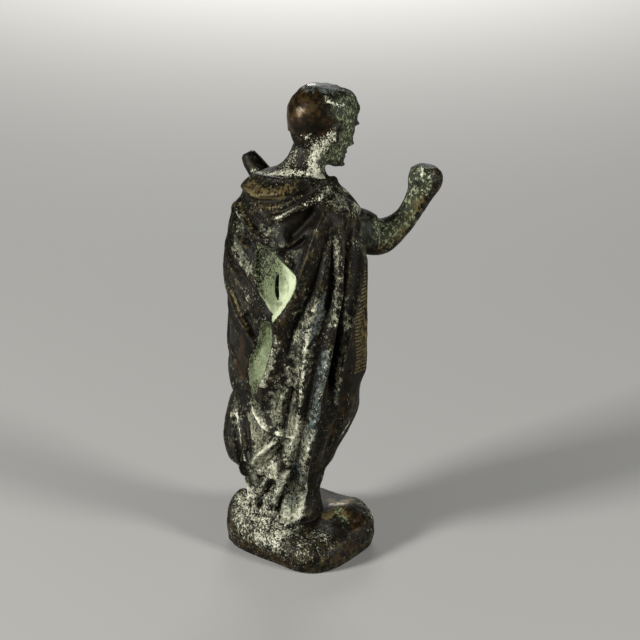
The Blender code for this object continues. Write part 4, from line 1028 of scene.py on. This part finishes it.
class StatuetteSizes(bpy.types.PropertyGroup):
    """The sizes of the casting, as in the part's source."""

    figure_height: size_property("Figure height", "From the ground to the top of the head", 0.100, 0.01)
    base_width: size_property("Base width", "The rock, from side to side", 0.0322, 0.005)
    base_depth: size_property("Base depth", "The rock, from front to back", 0.0276, 0.005)
    base_side: size_property("Base side", "The height of the rock's side", 0.0060, 0.001)
    base_height: size_property("Base height", "The ground that the figure stands on", 0.0100, 0.001)
    melt_step: size_property("Melt step", "The grid that melts the forms into one casting", 0.00021, 0.0001)
    relief: bpy.props.FloatProperty(
        name="Weathering", description="How deep the pits and lumps are", default=1.0, min=0, max=3, subtype="FACTOR"
    )


class PatinaColours(bpy.types.PropertyGroup):
    """The colours of the patina, some of which also paint highlight and shade."""

    # The oxide colour is also the painted shade in creases and recesses.
    oxide: colour_property("Oxide", "The dark skin of the bronze", "#0b0904")
    brown: colour_property("Brown", "Thinner oxide, in blotches", "#1a150a")
    warm_brown: colour_property("Warm brown", "Bare and handled places", "#342414")
    # Rubbed colour: wear, and painted highlight along the crests of the folds.
    rubbed: colour_property("Rubbed edge", "Folds that are worn bright", "#665a37")
    dark_green: colour_property("Dark green", "Thin green patina", "#262b1c")
    light_green: colour_property("Light green", "Thicker green patina", "#767f5e")
    grey: colour_property("Grey", "Thin grey film", "#57584a")
    # Blue film, and partly painted highlight on lit crests.
    grey_blue: colour_property("Grey blue", "Thin blue film", "#5a6866")
    crust: colour_property("Crust", "Specks of burial crust", "#d4d4bc")
    # The darker tone of the specks: at random, and partly painted shade, as the specks are paler on ridges.
    crust_shade: colour_property("Crust shade", "Dirt in the crust", "#7c7c66")
    pocket_green: colour_property("Pocket green", "Thin patina in the pockets", "#6c7557")
    pale_green: colour_property("Pale green", "Thick patina in the pockets", "#adb594")


class StudioSettings(bpy.types.PropertyGroup):
    """The plain studio."""

    paper: colour_property("Paper", "The floor and backdrop", "#9a9995")
    paper_size: size_property("Paper size", "How far the paper reaches", 3.0, 0.5)
    camera_distance: size_property("Camera distance", "From the camera to the figure", 0.380, 0.1)
    camera_turn: bpy.props.FloatProperty(
        name="Camera turn", description="Round the figure, 0 in front", default=math.radians(220), unit="ROTATION"
    )
    camera_rise: bpy.props.FloatProperty(
        name="Camera rise", description="Above the horizon", default=math.radians(22), unit="ROTATION"
    )
    lens: bpy.props.FloatProperty(name="Lens", description="Focal length", default=94.67, unit="CAMERA", min=10)


class STATUETTE_OT_casting(bpy.types.Operator):
    """Build the figure and its rock as one casting and give it its patina"""

    bl_idname = "statuette.casting"
    bl_label = "Bronze casting"

    def execute(self, context):
        sizes = context.scene.statuette_sizes
        unit = sizes.figure_height / 100
        ground = sizes.base_height / unit
        half_x, half_y = sizes.base_width / unit / 2, sizes.base_depth / unit / 2
        forms = [
            ring_mesh("body", body_rings(ground), unit),
            ring_mesh("head", head_rings(ground), unit),
            ring_mesh("arm", swept_rings(ARM, ground), unit),
            ring_mesh("stub", swept_rings(STUB, ground), unit),
            ring_mesh("rock", rock_rings(ground, half_x, half_y, sizes.base_side / unit), unit),
        ]
        forms += [ring_mesh("foot", swept_rings(foot, ground), unit) for foot in FEET]
        casting = joined("bronze_statuette", forms)
        melted(casting, sizes.melt_step)
        cut_flat(casting)
        thinned(casting, MOST_TRIANGLES)
        finer_band(casting, unit, ground)

        skin = Skin(casting.data, unit)
        for middle, reach, times in SEAMS:
            away = np.linalg.norm(skin.points - (np.array(middle) + np.array([0, 0, ground])), axis=1)
            weight = ease((reach - away) / (0.5 * reach))[:, None]
            for _ in range(times):
                skin.points += 0.6 * weight * (skin.mean(skin.points) - skin.points)
        masks = stain_masks(skin.points, ground)
        near_bend, far_bend = skin.bend(3), skin.bend(40)
        strokes = ease(chased_band(skin.points, ground))
        weathered(skin, masks, ground, sizes.relief)
        skin.keep()
        # How hollow and how ridged the skin is; the material paints shade into the hollows and highlight along the
        # ridges with them.
        add_attribute(casting.data, "hollow", 0.5 * ease(near_bend / 0.06) + 0.7 * ease(far_bend / 0.45))
        add_attribute(casting.data, "ridge", 0.5 * ease(-near_bend / 0.05) + 0.7 * ease(-far_bend / 0.4))
        for name, values in (*masks.items(), ("stroke", strokes)):
            add_attribute(casting.data, name, values)
        casting.data.polygons.foreach_set("use_smooth", [True] * len(casting.data.polygons))
        casting.data.materials.clear()
        casting.data.materials.append(patinated_bronze(context.scene.patina_colours))
        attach(casting, "root")
        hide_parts("statuette")
        return {"FINISHED"}


class STATUETTE_OT_studio(bpy.types.Operator):
    """Set the paper, the soft lights and the camera"""

    bl_idname = "statuette.studio"
    bl_label = "Plain studio"

    def execute(self, context):
        studio = context.scene.studio_settings
        scene = context.scene
        half = studio.paper_size / 2
        mesh = bpy.data.meshes.new("paper")
        corners = [(-half, -half, 0), (half, -half, 0), (half, half, 0), (-half, half, 0)]
        mesh.from_pydata(corners, [], [(0, 1, 2, 3)])
        paper = bpy.data.objects.new("studio_paper", mesh)
        scene.collection.objects.link(paper)
        mesh.materials.append(plain_paper(studio.paper))

        world = bpy.data.worlds.new("soft room")
        world.use_nodes = True
        world.node_tree.nodes["Background"].inputs["Color"].default_value = (1, 1, 1, 1)
        world.node_tree.nodes["Background"].inputs["Strength"].default_value = 0.03
        scene.world = world

        turn, rise = studio.camera_turn, studio.camera_rise
        right = Vector((math.cos(turn), math.sin(turn), 0))
        back = Vector((math.sin(turn), -math.cos(turn), 0))
        # Each light: how far right of, behind and above the figure's foot it stands, how far behind it and
        # how high it aims, its power and its width.
        for name, (aside, behind, above, aim_behind, aim_height, power, width) in {
            "key": (-0.58, -0.31, 0.29, 0.0, 0.055, 8.4, 0.15),
            "fill": (0.58, -0.33, 0.26, 0.0, 0.055, 5.6, 0.15),
            "far": (0.00, 0.85, 0.38, 0.80, 0.0, 6.2, 0.40),
        }.items():
            lamp = bpy.data.lights.new(name, "AREA")
            lamp.energy, lamp.size = power, width
            stand = bpy.data.objects.new(name, lamp)
            scene.collection.objects.link(stand)
            stand.location = right * aside - back * behind + Vector((0, 0, above))
            aim = Vector((0, 0, aim_height)) - back * aim_behind - stand.location
            stand.rotation_euler = aim.to_track_quat("-Z", "Y").to_euler()

        view = back * math.cos(rise) + Vector((0, 0, math.sin(rise)))
        target = right * 0.0045 + Vector((0, 0, 0.056))
        camera = bpy.data.objects.new("camera", bpy.data.cameras.new("camera"))
        scene.collection.objects.link(camera)
        camera.data.lens, camera.data.sensor_width = studio.lens, 36
        camera.data.clip_start = 0.01
        camera.location = target + view * studio.camera_distance
        camera.rotation_euler = view.to_track_quat("Z", "Y").to_euler()
        scene.camera = camera
        scene.view_settings.view_transform = "Standard"
        return {"FINISHED"}


class STATUETTE_PT_panel(bpy.types.Panel):
    """The builders and the values that they use"""

    bl_idname = "STATUETTE_PT_panel"
    bl_label = "Statuette"
    bl_space_type = "VIEW_3D"
    bl_region_type = "UI"
    bl_category = "Statuette"

    def draw(self, context):
        layout = self.layout
        for operator in OPERATORS:
            layout.operator(operator.bl_idname)
        for name in GROUPS:
            group = getattr(context.scene, name)
            box = layout.box()
            for value in group.__annotations__:
                box.prop(group, value)


OPERATORS = (STATUETTE_OT_casting, STATUETTE_OT_studio)
GROUPS = {
    "statuette_sizes": StatuetteSizes,
    "patina_colours": PatinaColours,
    "studio_settings": StudioSettings,
}


def register():
    """Registers the classes and puts their values on the scene."""
    for name, group in GROUPS.items():
        bpy.utils.register_class(group)
        setattr(bpy.types.Scene, name, bpy.props.PointerProperty(type=group))
    for item in (*OPERATORS, STATUETTE_PT_panel):
        bpy.utils.register_class(item)


def unregister():
    """Takes them off again."""
    for item in (STATUETTE_PT_panel, *reversed(OPERATORS)):
        bpy.utils.unregister_class(item)
    for name, group in GROUPS.items():
        delattr(bpy.types.Scene, name)
        bpy.utils.unregister_class(group)


def main():
    """Builds the statuette and its studio."""
    register()
    bpy.ops.statuette.casting()
    bpy.ops.statuette.studio()


if __name__ == "__main__":
    main()
